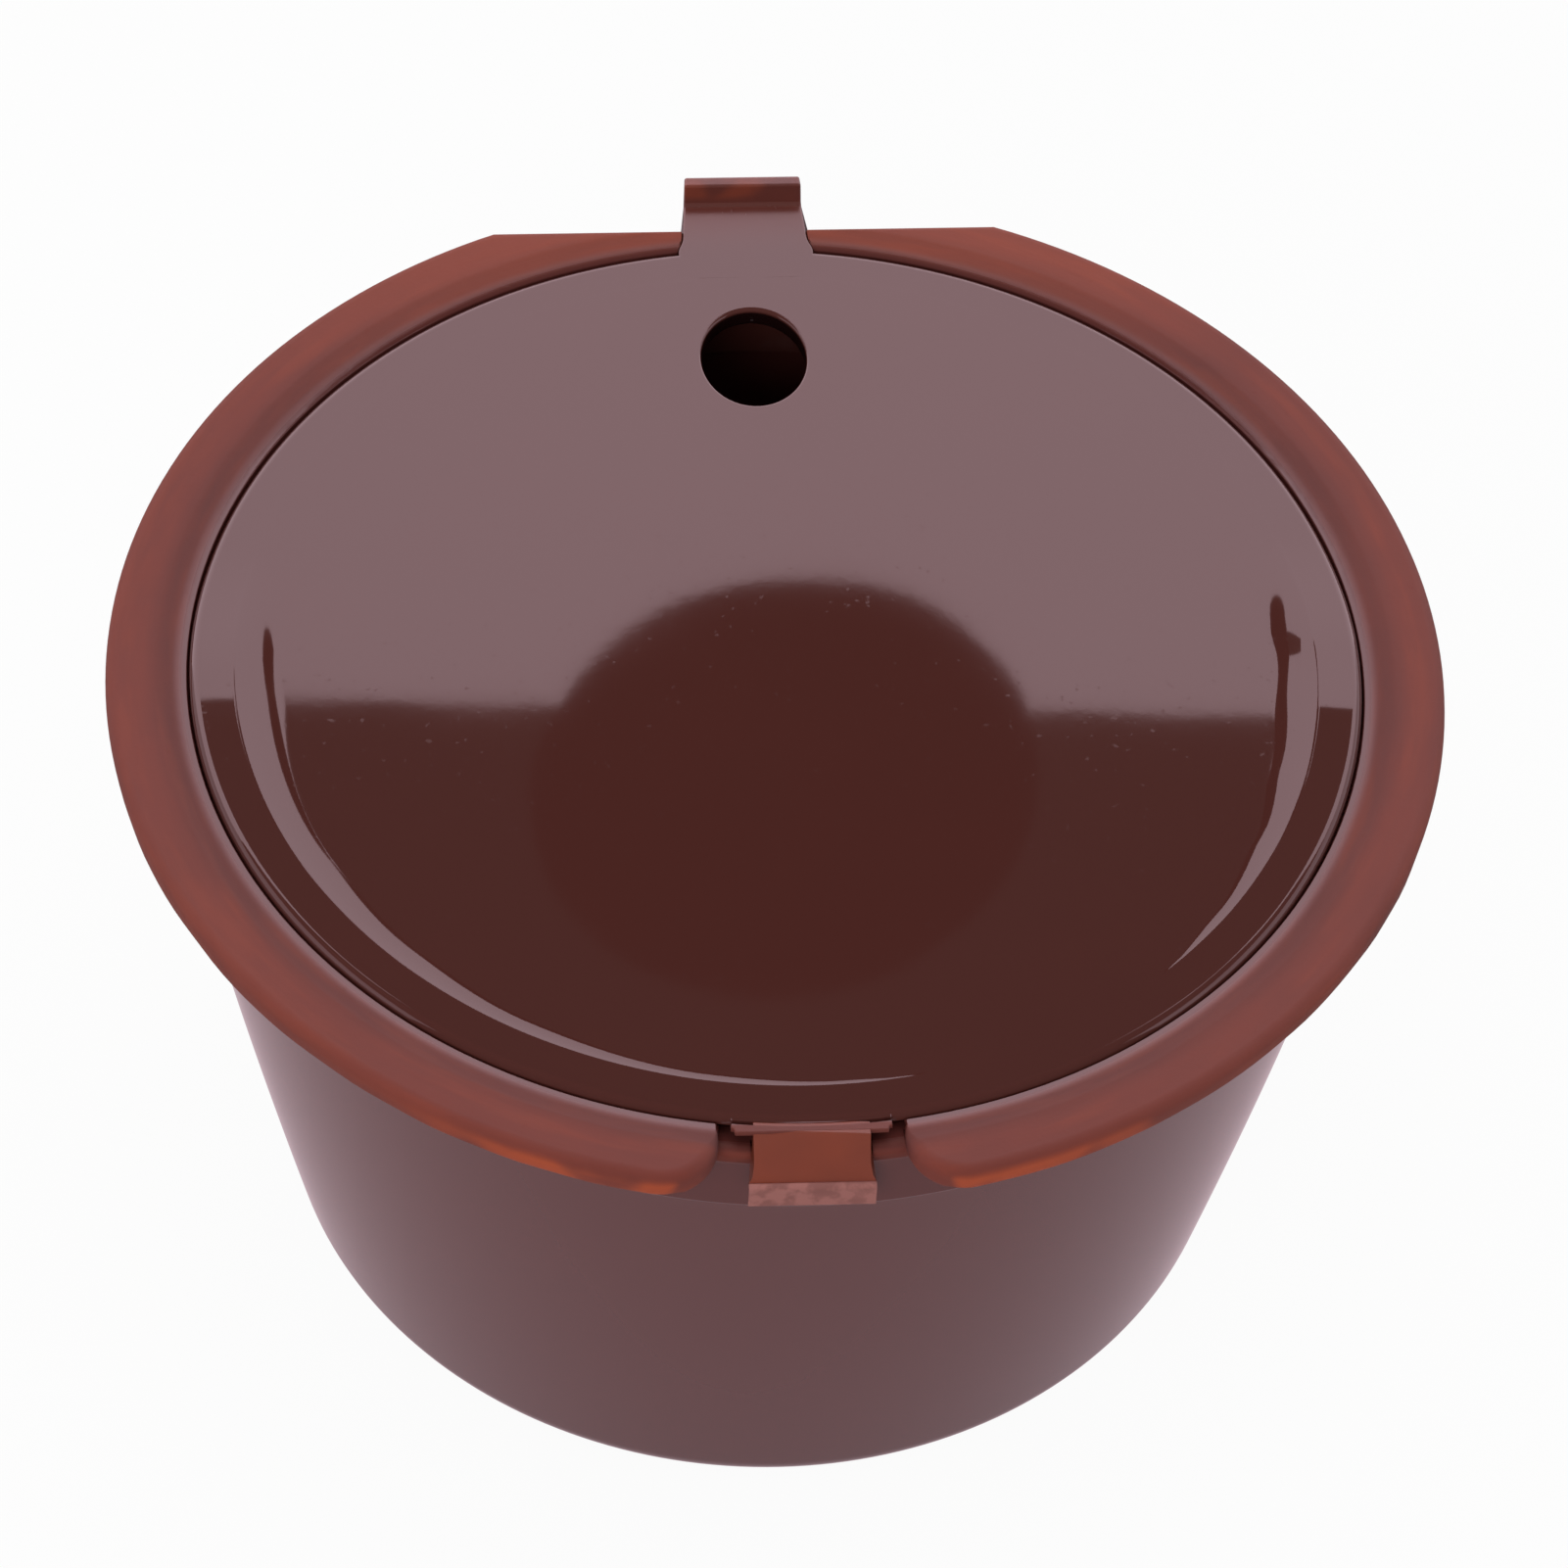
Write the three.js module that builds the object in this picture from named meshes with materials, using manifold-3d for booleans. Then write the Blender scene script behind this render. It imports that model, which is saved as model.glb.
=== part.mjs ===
// Refillable coffee pod: a moulded cup with a hinged snap-in lid, a wire filter screen and its clamp ring.
// Millimetres, +Z up. The origin is on the cup's axis, in the plane that the pod stands on.
// The lid's pull tab points along +Y and its folded hinge strap along -Y.

import * as THREE from 'three';
import { mergeVertices } from 'three/addons/utils/BufferGeometryUtils.js';
import Module from 'manifold-3d';

const wasm = await Module();
wasm.setup();

// Cup, outside
const podHeight = 28.8;
const flangeWidth = 3.23;
const flangeThickness = 1.4;
const flangeEdgeRadius = 0.6;
const flangeChamferWidth = 1.33;
const flangeChamferDepth = 0.85;
const collarThickness = 1.6;
const collarHeight = 2.8;
const collarStep = 0.2;
const baseRadius = 19.8;
const baseCornerRadius = 1.9;
const wallBulge = 0.15;
const wallThickness = 1.3;

// Flange cut-outs: a straight finger cut behind, and a notch in front for the hinge strap
const fingerCutMargin = 1.03;
const notchWidth = 7.2;
const notchCornerRadius = 2.2;

// Cup floor, outlet, and what carries the filter screen
const standingRingWidth = 1.8;
const baseRecess = 0.8;
const recessSlope = 0.5;
const floorThickness = 1.2;
const outletRadius = 1.6;
const nozzleRadius = 2.9;
const nozzleClearance = 0.15;
const supportHeight = 1.0;
const supportRibCount = 8;
const supportRibWidth = 0.8;
const supportRibStart = 3.4;
const screenSeatWidth = 2.5;

// Filter screen and clamp ring
const screenGap = 0.3;
const screenRimWidth = 0.9;
const screenThickness = 0.4;
const wireWidth = 1.0;
const wirePitch = 3.1;
const ringWidth = 2.6;
const ringHeight = 1.9;
const ringGap = 0.3;
const retainerBead = 0.5;
const retainerBeadHeight = 0.8;

// Lid
const lidRadius = 23.57;
const lidGap = 0.2;
const lidSeatWidth = 0.52;
const rimThickness = 1.0;
const rimEdgeRadius = 0.36;
const crownWidth = 1.36;
const dishShoulderWidth = 1.9;
const dishDepth = 0.15;
const lidFloorThickness = 0.9;
const plugGap = 0.3;
const plugThickness = 1.1;
const plugDepth = 3.5;
const plugLead = 0.35;
const snapBead = 0.15;
const snapBeadHeight = 0.9;
const snapBeadDepth = 2.65;
const needleHoleWidth = 4.5;
const needleHoleLength = 5.6;
const needleHoleInset = 6.4;

// Pull tab at the back of the lid
const tabOverhang = 3.55;
const tabRootWidth = 5.4;
const tabEndWidth = 4.9;
const tabThickness = 0.7;
const tabRootRadius = 0.8;
const lipHeight = 0.7;
const lipDepth = 1.15;
const lipSlope = 0.5;

// Hinge strap, folded under in front of the notch
const strapWidth = 4.8;
const strapThickness = 0.46;
const strapEdgeRadius = 0.12;
const landingReach = 0.5;
const landingWingWidth = 0.27;
const landingThickness = 0.45;
const landingDrop = 0.15;
const landingGrooveDepth = 0.25;
const foldOverhang = 1.1;
const foldDrop = 2.2;
const foldGap = 0.3;
const fitGap = 0.3;

// Places worked out from the sizes
const flangeBottom = podHeight - flangeThickness;
const stepHeight = flangeBottom - collarHeight;
const lidSeat = podHeight - rimThickness;
const recessRadius = lidRadius + lidGap;
const boreRadius = lidRadius - lidSeatWidth;
const flangeRadius = recessRadius + flangeWidth;
const collarRadius = boreRadius + collarThickness;
const fingerCutDistance = recessRadius + fingerCutMargin;
const plugRadius = boreRadius - plugGap;
const plugBottom = lidSeat - plugDepth;
const snapHeight = lidSeat - snapBeadDepth;
const floorTop = baseRecess + floorThickness;
const screenSeat = floorTop + supportHeight;
const screenTop = screenSeat + screenThickness;
const ringTop = screenTop + ringHeight;
const foldY = -(collarRadius + foldOverhang);
const foldZ = podHeight - foldDrop;
const strapRecessY = -(boreRadius + 0.5 * wallThickness);
const roundSegments = 76;
const holeSegments = 32;
const arcSteps = 3;
const overshoot = 2;

// Points of a circular arc, both ends included
function arc(centreX, centreY, radius, fromDegrees, toDegrees, steps = arcSteps) {
  const points = [];
  for (let i = 0; i <= steps; i++) {
    const angle = THREE.MathUtils.degToRad(fromDegrees + ((toDegrees - fromDegrees) * i) / steps);
    points.push([centreX + radius * Math.cos(angle), centreY + radius * Math.sin(angle)]);
  }
  return points;
}

// Turns a closed three.js geometry into a solid
function solidOf(geometry) {
  const plain = geometry.index ? geometry.toNonIndexed() : geometry;
  plain.deleteAttribute('normal');
  plain.deleteAttribute('uv');
  const merged = mergeVertices(plain, 1e-4);
  const corners = merged.index.array;
  const places = merged.attributes.position;
  const a = new THREE.Vector3();
  const b = new THREE.Vector3();
  const c = new THREE.Vector3();
  const triangles = [];
  let volume = 0;
  for (let i = 0; i < corners.length; i += 3) {
    const [p, q, r] = [corners[i], corners[i + 1], corners[i + 2]];
    if (p === q || q === r || r === p) continue;
    triangles.push([p, q, r]);
    a.fromBufferAttribute(places, p);
    b.fromBufferAttribute(places, q);
    c.fromBufferAttribute(places, r);
    volume += a.dot(b.cross(c));
  }
  const ordered = volume < 0 ? triangles.map(([p, q, r]) => [p, r, q]) : triangles;
  return new wasm.Manifold(
    new wasm.Mesh({
      numProp: 3,
      vertProperties: new Float32Array(places.array),
      triVerts: new Uint32Array(ordered.flat()),
    }),
  );
}

// A named mesh of a solid
function meshOf(name, solid, material) {
  const raw = solid.getMesh();
  const geometry = new THREE.BufferGeometry();
  geometry.setAttribute('position', new THREE.BufferAttribute(new Float32Array(raw.vertProperties), 3));
  geometry.setIndex(new THREE.BufferAttribute(new Uint32Array(raw.triVerts), 1));
  geometry.computeVertexNormals();
  const mesh = new THREE.Mesh(geometry, material);
  mesh.name = name;
  return mesh;
}

// Turns a profile of [radius, height] points about the Z axis
function revolve(points, segments = roundSegments) {
  const closed = points[0][0] === 0 ? points : [...points, points[0]];
  const profile = closed.map(([r, z]) => new THREE.Vector2(r, z));
  const geometry = new THREE.LatheGeometry(profile, segments);
  geometry.rotateX(Math.PI / 2);
  return solidOf(geometry);
}

// An upright disc between two heights
function disc(radius, bottom, top, segments = roundSegments) {
  return revolve([[0, bottom], [radius, bottom], [radius, top], [0, top]], segments);
}

// A plan outline of [x, y] points raised from one height to another
function raise(points, bottom, top) {
  const shape = new THREE.Shape(points.map(([x, y]) => new THREE.Vector2(x, y)));
  const geometry = new THREE.ExtrudeGeometry(shape, { depth: top - bottom, bevelEnabled: false });
  geometry.translate(0, 0, bottom);
  return solidOf(geometry);
}

// A side outline of [y, z] points made wide along X, centred on the middle plane, with rounded side edges
function widen(points, width, edge) {
  const shape = new THREE.Shape(points.map(([y, z]) => new THREE.Vector2(y, z)));
  const bevel = {
    bevelEnabled: edge > 0,
    bevelSize: edge,
    bevelOffset: -edge,
    bevelThickness: edge,
    bevelSegments: 2,
  };
  const geometry = new THREE.ExtrudeGeometry(shape, { depth: width - 2 * edge, ...bevel });
  geometry.translate(0, 0, edge - width / 2);
  // the outline's y and z become the part's Y and Z, and the depth becomes X
  geometry.applyMatrix4(new THREE.Matrix4().set(0, 0, 1, 0, 1, 0, 0, 0, 0, 1, 0, 0, 0, 0, 0, 1));
  return solidOf(geometry);
}

// A box between two corners
function block(low, high) {
  const size = high.map((v, i) => v - low[i]);
  const geometry = new THREE.BoxGeometry(...size);
  geometry.translate(low[0] + size[0] / 2, low[1] + size[1] / 2, low[2] + size[2] / 2);
  return solidOf(geometry);
}

// The wall's outside between the base corner and the step: a straight taper with a slight outward swell
const wallTopRadius = collarRadius - collarStep;
const wallLean = Math.atan2(wallTopRadius - baseRadius, stepHeight);
const cornerTangent = baseCornerRadius * Math.tan((Math.PI / 2 - wallLean) / 2);
const cornerTop = cornerTangent * Math.cos(wallLean);

function wallOutside(height) {
  const share = THREE.MathUtils.clamp((height - cornerTop) / (stepHeight - cornerTop), 0, 1);
  const swell = wallBulge * 4 * share * (1 - share);
  return baseRadius + height * Math.tan(wallLean) + swell;
}

function wallInside(height) {
  return Math.min(wallOutside(height) - wallThickness / Math.cos(wallLean), boreRadius);
}

// The screen fits inside the wall, and its seat and ribs fit under it
const screenRadius = wallInside(screenSeat) - screenGap;
const seatInner = screenRadius - screenSeatWidth;

// Evenly spaced heights between two ends, both included
function heights(from, to, steps) {
  return Array.from({ length: steps + 1 }, (_, i) => from + ((to - from) * i) / steps);
}

function cupProfile() {
  const wallSteps = 4;
  const flatOuter = baseRadius - cornerTangent;
  const recessOuter = flatOuter - standingRingWidth;
  const cornerDegrees = THREE.MathUtils.radToDeg(wallLean);
  const beadMiddle = ringTop + ringGap + retainerBeadHeight / 2;
  const grooveHalf = snapBeadHeight / 2 + snapBead;
  const boreLead = plugGap;
  const innerTop = snapHeight - snapBeadHeight;
  return [
    [outletRadius, nozzleClearance],
    [nozzleRadius - recessSlope, nozzleClearance],
    [nozzleRadius, baseRecess],
    [recessOuter - recessSlope, baseRecess],
    [recessOuter, 0],
    ...arc(flatOuter, baseCornerRadius, baseCornerRadius, -90, -cornerDegrees),
    ...heights(cornerTop, stepHeight, wallSteps).slice(1).map((z) => [wallOutside(z), z]),
    [collarRadius, stepHeight + collarStep],
    [collarRadius, flangeBottom - collarStep],
    [collarRadius + collarStep, flangeBottom],
    ...arc(flangeRadius - collarStep, flangeBottom + collarStep, collarStep, -90, 0, 2),
    ...arc(flangeRadius - flangeEdgeRadius, podHeight - flangeEdgeRadius, flangeEdgeRadius, 0, 90),
    [recessRadius + flangeChamferWidth, podHeight],
    [recessRadius, podHeight - flangeChamferDepth],
    [recessRadius, lidSeat],
    [boreRadius + boreLead, lidSeat],
    [boreRadius, lidSeat - boreLead],
    [boreRadius, snapHeight + grooveHalf],
    [boreRadius + snapBead, snapHeight + snapBead],
    [boreRadius + snapBead, snapHeight - snapBead],
    [boreRadius, snapHeight - grooveHalf],
    ...heights(innerTop, beadMiddle + retainerBeadHeight / 2, wallSteps).map((z) => [wallInside(z), z]),
    [wallInside(beadMiddle) - retainerBead, beadMiddle],
    [wallInside(ringTop + ringGap), ringTop + ringGap],
    [wallInside(screenSeat), screenSeat],
    [seatInner, screenSeat],
    [seatInner, floorTop],
    [outletRadius + recessSlope, floorTop],
    [outletRadius, floorTop - recessSlope],
  ];
}

// The ribs inside the floor, which hold the screen off it so that coffee runs to the outlet
function supportRibs() {
  const ribs = [];
  for (let i = 0; i < supportRibCount; i++) {
    const low = [supportRibStart, -supportRibWidth / 2, floorTop - floorThickness / 2];
    const high = [seatInner + screenSeatWidth / 2, supportRibWidth / 2, screenSeat];
    ribs.push(block(low, high).rotate([0, 0, (360 * (i + 0.5)) / supportRibCount]));
  }
  return wasm.Manifold.union(ribs);
}

// The notch through the flange: straight sides that turn outwards in round flange ends
function notchCutter() {
  const half = notchWidth / 2;
  const centreX = half + notchCornerRadius;
  const centreY = -Math.sqrt((flangeRadius - notchCornerRadius) ** 2 - centreX ** 2);
  const tangentDegrees = 360 + THREE.MathUtils.radToDeg(Math.atan2(centreY, centreX));
  const right = [[half, -boreRadius], ...arc(centreX, centreY, notchCornerRadius, 180, tangentDegrees, 6)];
  const [endX, endY] = right[right.length - 1];
  const reach = 1 + overshoot / flangeRadius;
  right.push([endX * reach, endY * reach]);
  const left = right.map(([x, y]) => [-x, y]).reverse();
  const bottom = flangeBottom - collarStep / 2;
  const plan = raise([...right, ...left], bottom, podHeight + overshoot);
  return plan.subtract(disc(collarRadius, bottom - overshoot, lidSeat));
}

// The cup's half of the hinge strap: a leaf from the collar out to the fold
function cupLeaf() {
  const top = foldZ - foldGap / 2;
  const bottom = top - strapThickness;
  const nose = foldY + foldGap / 4;
  const noseRadius = 0.4 * strapThickness;
  const outline = [
    [strapRecessY + strapThickness / 2, top],
    ...arc(nose + noseRadius, top - noseRadius, noseRadius, 90, 180, 2),
    ...arc(nose + noseRadius, bottom + noseRadius, noseRadius, 180, 270, 2),
    [strapRecessY + strapThickness / 2, bottom - strapThickness / 2],
  ];
  return widen(outline, strapWidth, strapEdgeRadius);
}

function cupSolid() {
  const wide = flangeRadius + overshoot;
  const high = podHeight + overshoot;
  const strapHalf = strapWidth / 2 + fitGap;
  const slotHalf = tabRootWidth / 2 + fitGap;
  const leafTop = foldZ - foldGap / 2;
  return revolve(cupProfile())
    .add(supportRibs())
    .subtract(block([-wide, fingerCutDistance, flangeBottom - overshoot], [wide, wide + overshoot, high]))
    .subtract(block([-slotHalf, boreRadius, lidSeat], [slotHalf, wide, high]))
    .subtract(notchCutter())
    .subtract(block([-strapHalf, -wide, leafTop], [strapHalf, strapRecessY, high]))
    .add(cupLeaf());
}

function lidProfile() {
  const rimTop = podHeight;
  const dishFloor = rimTop - dishDepth;
  const underside = dishFloor - lidFloorThickness;
  const crownInner = lidRadius - rimEdgeRadius - crownWidth;
  const dishRadius = crownInner - dishShoulderWidth;
  const shoulderAt = (share) => [dishRadius + share * dishShoulderWidth, dishFloor + share ** 2 * dishDepth];
  const plugInner = plugRadius - plugThickness;
  return [
    [0, underside],
    [plugInner, underside],
    [plugInner, plugBottom],
    [plugRadius - plugLead, plugBottom],
    [plugRadius, plugBottom + plugLead],
    [plugRadius, snapHeight - snapBeadHeight / 2],
    [plugRadius + snapBead, snapHeight - snapBead / 2],
    [plugRadius + snapBead, snapHeight + snapBead / 2],
    [plugRadius, snapHeight + snapBeadHeight / 2],
    [plugRadius, lidSeat],
    [lidRadius, lidSeat],
    ...arc(lidRadius - rimEdgeRadius, rimTop - rimEdgeRadius, rimEdgeRadius, 0, 90),
    [crownInner, rimTop],
    ...[2 / 3, 1 / 3, 0].map(shoulderAt),
    [0, dishFloor],
  ];
}

// The pull tab: a tapered tongue that ends in a lip turned up for a fingernail
function pullTab() {
  const root = boreRadius - tabRootRadius;
  const end = lidRadius + tabOverhang;
  const rootHalf = tabRootWidth / 2;
  const endHalf = tabEndWidth / 2;
  const crease = end - lipDepth;
  const side = [
    [root, podHeight - tabThickness],
    [end - lipSlope, podHeight - tabThickness],
    [end, podHeight - tabThickness + lipSlope],
    ...arc(end - lipSlope / 2, podHeight + lipHeight - lipSlope / 2, lipSlope / 2, 0, 90, 2),
    [crease + lipSlope, podHeight + lipHeight],
    [crease, podHeight],
    [root, podHeight],
  ];
  const plan = [
    [rootHalf, root],
    [rootHalf, lidRadius],
    [endHalf, end],
    [-endHalf, end],
    [-rootHalf, lidRadius],
    [-rootHalf, root],
  ];
  const bottom = podHeight - overshoot;
  return widen(side, tabRootWidth + overshoot, 0).intersect(raise(plan, bottom, podHeight + overshoot));
}

// The landing in front of the lid's rim: as wide as the strap, with a narrow wing along the rim on each side
function strapLanding(top, inner) {
  const under = top - landingThickness;
  const strapHalf = strapWidth / 2;
  const wingHalf = notchWidth / 2 - fitGap;
  const wings = disc(recessRadius + landingWingWidth, under, top);
  return block([-wingHalf, -flangeRadius, under], [wingHalf, inner, top])
    .intersect(wings)
    .add(block([-strapHalf, -(lidRadius + landingReach), under], [strapHalf, inner, top]));
}

// The lid's half of the hinge strap: the landing, and a leaf that slopes down to the fold.
// The gap around the lid runs on across it as a groove.
function lidLeaf() {
  const top = podHeight - landingDrop;
  const landingEdge = -(lidRadius + landingReach);
  const inner = -(boreRadius - strapThickness);
  const groove = disc(recessRadius, top - landingGrooveDepth, podHeight).subtract(
    disc(lidRadius, top - overshoot, podHeight + overshoot),
  );
  const bottom = foldZ + foldGap / 2;
  const nose = foldY + foldGap / 4;
  const noseRadius = 0.4 * strapThickness;
  const foldTop = bottom + strapThickness;
  const slope = Math.atan2(top - foldTop, landingEdge - (nose + noseRadius));
  const shiftY = strapThickness * Math.sin(slope);
  const shiftZ = strapThickness * Math.cos(slope);
  const outline = [
    [inner, top],
    [landingEdge, top],
    ...arc(nose + noseRadius, foldTop - noseRadius, noseRadius, 90, 180, 2),
    ...arc(nose + noseRadius, bottom + noseRadius, noseRadius, 180, 270, 2),
    [nose + noseRadius + 1.4 * shiftY, bottom],
    [landingEdge + shiftY, top - shiftZ],
    [inner, top - shiftZ],
  ];
  return strapLanding(top, inner).add(widen(outline, strapWidth, 0)).subtract(groove);
}

// The oval hole that the machine's needle comes through
function needleHole() {
  const middle = lidRadius - needleHoleInset;
  const stretch = needleHoleLength / needleHoleWidth;
  const round = arc(0, 0, needleHoleWidth / 2, 0, 360 - 360 / holeSegments, holeSegments - 1);
  return raise(round.map(([x, y]) => [x, middle + stretch * y]), 0, podHeight + overshoot);
}

function lidSolid() {
  const notchHalf = notchWidth / 2;
  const underLanding = podHeight - landingDrop - landingThickness;
  const rimUndercut = block(
    [-notchHalf, -(lidRadius + overshoot), lidSeat - overshoot],
    [notchHalf, -(plugRadius + snapBead), underLanding],
  );
  return revolve(lidProfile())
    .subtract(rimUndercut)
    .add(pullTab())
    .add(lidLeaf())
    .subtract(needleHole());
}

// The screen: crossed wires, one layer over the other, in a pressed rim
function screenSolid() {
  const inner = screenRadius - screenRimWidth;
  const rim = revolve([
    [inner, screenSeat],
    [screenRadius, screenSeat],
    [screenRadius, screenTop],
    [inner, screenTop],
  ]);
  const layer = 0.6 * screenThickness;
  const wires = [];
  const reach = Math.floor(inner / wirePitch);
  for (let i = -reach; i <= reach; i++) {
    const at = i * wirePitch;
    const half = wireWidth / 2;
    wires.push(block([-screenRadius, at - half, screenSeat], [screenRadius, at + half, screenSeat + layer]));
    wires.push(block([at - half, -screenRadius, screenTop - layer], [at + half, screenRadius, screenTop]));
  }
  const field = disc(inner + screenRimWidth / 2, screenSeat, screenTop);
  return wasm.Manifold.union(wires).intersect(field).add(rim);
}

function ringSolid() {
  const edge = 0.25 * ringWidth;
  const outerLow = wallInside(screenTop) - ringGap;
  const outerHigh = wallInside(ringTop) - ringGap;
  const inner = outerLow - ringWidth;
  return revolve([
    [inner, screenTop],
    [outerLow, screenTop],
    [outerHigh, ringTop],
    [inner + edge, ringTop],
    [inner, ringTop - edge],
  ]);
}

const brownPlastic = { metalness: 0, roughness: 0.35 };
const pod = new THREE.Group();
pod.add(
  meshOf('cup', cupSolid(), new THREE.MeshStandardMaterial({ color: 0x6b3a36, ...brownPlastic })),
  meshOf('lid', lidSolid(), new THREE.MeshStandardMaterial({ color: 0x5a2e2a, metalness: 0, roughness: 0.12 })),
  meshOf('filter_ring', ringSolid(), new THREE.MeshStandardMaterial({ color: 0x6b3a36, ...brownPlastic })),
  meshOf(
    'filter_screen',
    screenSolid(),
    new THREE.MeshStandardMaterial({ color: 0xb9bbbd, metalness: 1, roughness: 0.3 }),
  ),
);

export default pod;
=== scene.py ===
"""Looks for a refillable coffee pod: cup, dished lid, hinge strap, filter screen and clamp ring.

Everything is in metres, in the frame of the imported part: +Z up, the cup's axis on Z, and the
pull tab along +Y.
"""

import logging
import math
from dataclasses import dataclass
from enum import Enum
from typing import Callable, ClassVar, Sequence, Union

import bmesh
import bpy
from mathutils import Matrix, Vector, noise


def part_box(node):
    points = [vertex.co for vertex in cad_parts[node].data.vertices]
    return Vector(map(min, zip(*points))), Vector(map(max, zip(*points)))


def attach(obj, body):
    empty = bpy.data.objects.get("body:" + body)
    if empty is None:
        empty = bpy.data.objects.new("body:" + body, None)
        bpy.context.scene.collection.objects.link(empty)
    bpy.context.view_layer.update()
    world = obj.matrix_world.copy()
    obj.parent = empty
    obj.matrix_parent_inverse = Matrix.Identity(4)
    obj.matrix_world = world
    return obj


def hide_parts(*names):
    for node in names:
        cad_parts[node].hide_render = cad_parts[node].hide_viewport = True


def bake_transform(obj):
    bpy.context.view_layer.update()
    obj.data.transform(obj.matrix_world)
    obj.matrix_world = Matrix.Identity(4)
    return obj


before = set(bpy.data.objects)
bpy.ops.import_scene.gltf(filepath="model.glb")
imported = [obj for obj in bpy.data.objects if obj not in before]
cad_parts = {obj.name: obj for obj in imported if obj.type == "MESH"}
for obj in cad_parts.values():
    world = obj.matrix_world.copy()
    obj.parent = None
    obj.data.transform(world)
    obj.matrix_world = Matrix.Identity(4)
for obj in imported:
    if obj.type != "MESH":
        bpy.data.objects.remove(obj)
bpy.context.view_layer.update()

log = logging.getLogger("coffee_pod")

Point = tuple[float, float]
Colour = tuple[float, float, float]
MM = 0.001
FINE_STEPS = 224
COARSE_STEPS = 96
UP = Vector((0, 0, 1))
SORT_ALONG = Vector((0.5773, 1.2361, 2.0149))


class Join(Enum):
    """How one solid acts on another."""

    ADD = "UNION"
    CUT = "DIFFERENCE"


class Slot(Enum):
    """The record's material slots."""

    CUP = "cup_plastic"
    LID = "lid_plastic"
    SCREEN = "screen_steel"


# Outlines


def arc(centre: Point, radius: float, start: float, end: float, steps: int = 6) -> list[Point]:
    """Points of a circular arc, both ends included.

    Args:
        centre: the arc's centre.
        radius: the arc's radius.
        start: the first angle, in degrees.
        end: the last angle, in degrees.
        steps: how many chords the arc has.

    Returns:
        The points in order.
    """
    angles = [math.radians(start + (end - start) * i / steps) for i in range(steps + 1)]
    return [(centre[0] + radius * math.cos(a), centre[1] + radius * math.sin(a)) for a in angles]


def spaced(start: float, end: float, steps: int) -> list[float]:
    """Evenly spaced values, both ends included."""
    return [start + (end - start) * i / steps for i in range(steps + 1)]


def eased(value: float, start: float, end: float) -> float:
    """0 before start, 1 after end, and a smooth rise between them."""
    share = min(max((value - start) / (end - start), 0.0), 1.0)
    return share * share * (3 - 2 * share)


# Solids


def in_order(bm: bmesh.types.BMesh) -> None:
    """Sorts a mesh's points and faces by their places, so that each run gives the same mesh."""
    bm.verts.sort(key=lambda v: v.co.dot(SORT_ALONG))
    bm.edges.sort(key=lambda e: (e.verts[0].co + e.verts[1].co).dot(SORT_ALONG))
    bm.faces.sort(key=lambda f: f.calc_center_bounds().dot(SORT_ALONG))


def finished(name: str, bm: bmesh.types.BMesh) -> bpy.types.Object:
    """Merges doubles, turns the faces outwards and makes the object.

    Args:
        name: the object's name.
        bm: the mesh, which is freed.

    Returns:
        The new object, at the origin.
    """
    bmesh.ops.remove_doubles(bm, verts=bm.verts, dist=1e-7)
    bmesh.ops.dissolve_degenerate(bm, dist=1e-8, edges=bm.edges)
    bmesh.ops.recalc_face_normals(bm, faces=bm.faces)
    in_order(bm)
    mesh = bpy.data.meshes.new(name)
    bm.to_mesh(mesh)
    bm.free()
    made = bpy.data.objects.new(name, mesh)
    bpy.context.scene.collection.objects.link(made)
    return made


def spun(name: str, profile: Sequence[Point], steps: int = FINE_STEPS) -> bpy.types.Object:
    """Turns a profile of (radius, height) points about the Z axis.

    Args:
        name: the object's name.
        profile: the points; a profile that doesn't start on the axis is closed on itself.
        steps: how many sides the turned solid has.

    Returns:
        The closed solid.
    """
    bm = bmesh.new()
    verts = [bm.verts.new((r, 0.0, z)) for r, z in profile]
    edges = [bm.edges.new(pair) for pair in zip(verts, verts[1:])]
    if profile[0][0] > 0:
        edges.append(bm.edges.new((verts[-1], verts[0])))
    bmesh.ops.spin(
        bm,
        geom=verts + edges,
        cent=(0, 0, 0),
        axis=UP,
        angle=math.tau,
        steps=steps,
        use_merge=True,
        use_duplicate=False,
    )
    return finished(name, bm)


def drawn_out(
    name: str, outline: Sequence[Vector], along: Vector, edge: float = 0.0, segments: int = 4
) -> bpy.types.Object:
    """Draws a flat outline out into a solid and rounds the edges of its two faces.

    Args:
        name: the object's name.
        outline: the outline's corners, in order.
        along: how far and which way it is drawn.
        edge: the rounding of the face edges, or 0 for none.
        segments: how many chords the rounding has.

    Returns:
        The closed solid.
    """
    bm = bmesh.new()
    face = bm.faces.new([bm.verts.new(p) for p in outline])
    drawn = bmesh.ops.extrude_face_region(bm, geom=[face], use_keep_orig=True)
    moved = [g for g in drawn["geom"] if isinstance(g, bmesh.types.BMVert)]
    bmesh.ops.translate(bm, verts=moved, vec=along)
    bmesh.ops.recalc_face_normals(bm, faces=bm.faces)
    if edge > 0:
        caps = [f for f in bm.faces if abs(f.normal.dot(along.normalized())) > 0.99]
        bmesh.ops.bevel(
            bm,
            geom=list(dict.fromkeys(e for f in caps for e in f.edges)),
            offset=edge,
            affect="EDGES",
            segments=segments,
            profile=0.5,
            material=-1,
            clamp_overlap=True,
        )
    return finished(name, bm)


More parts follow.
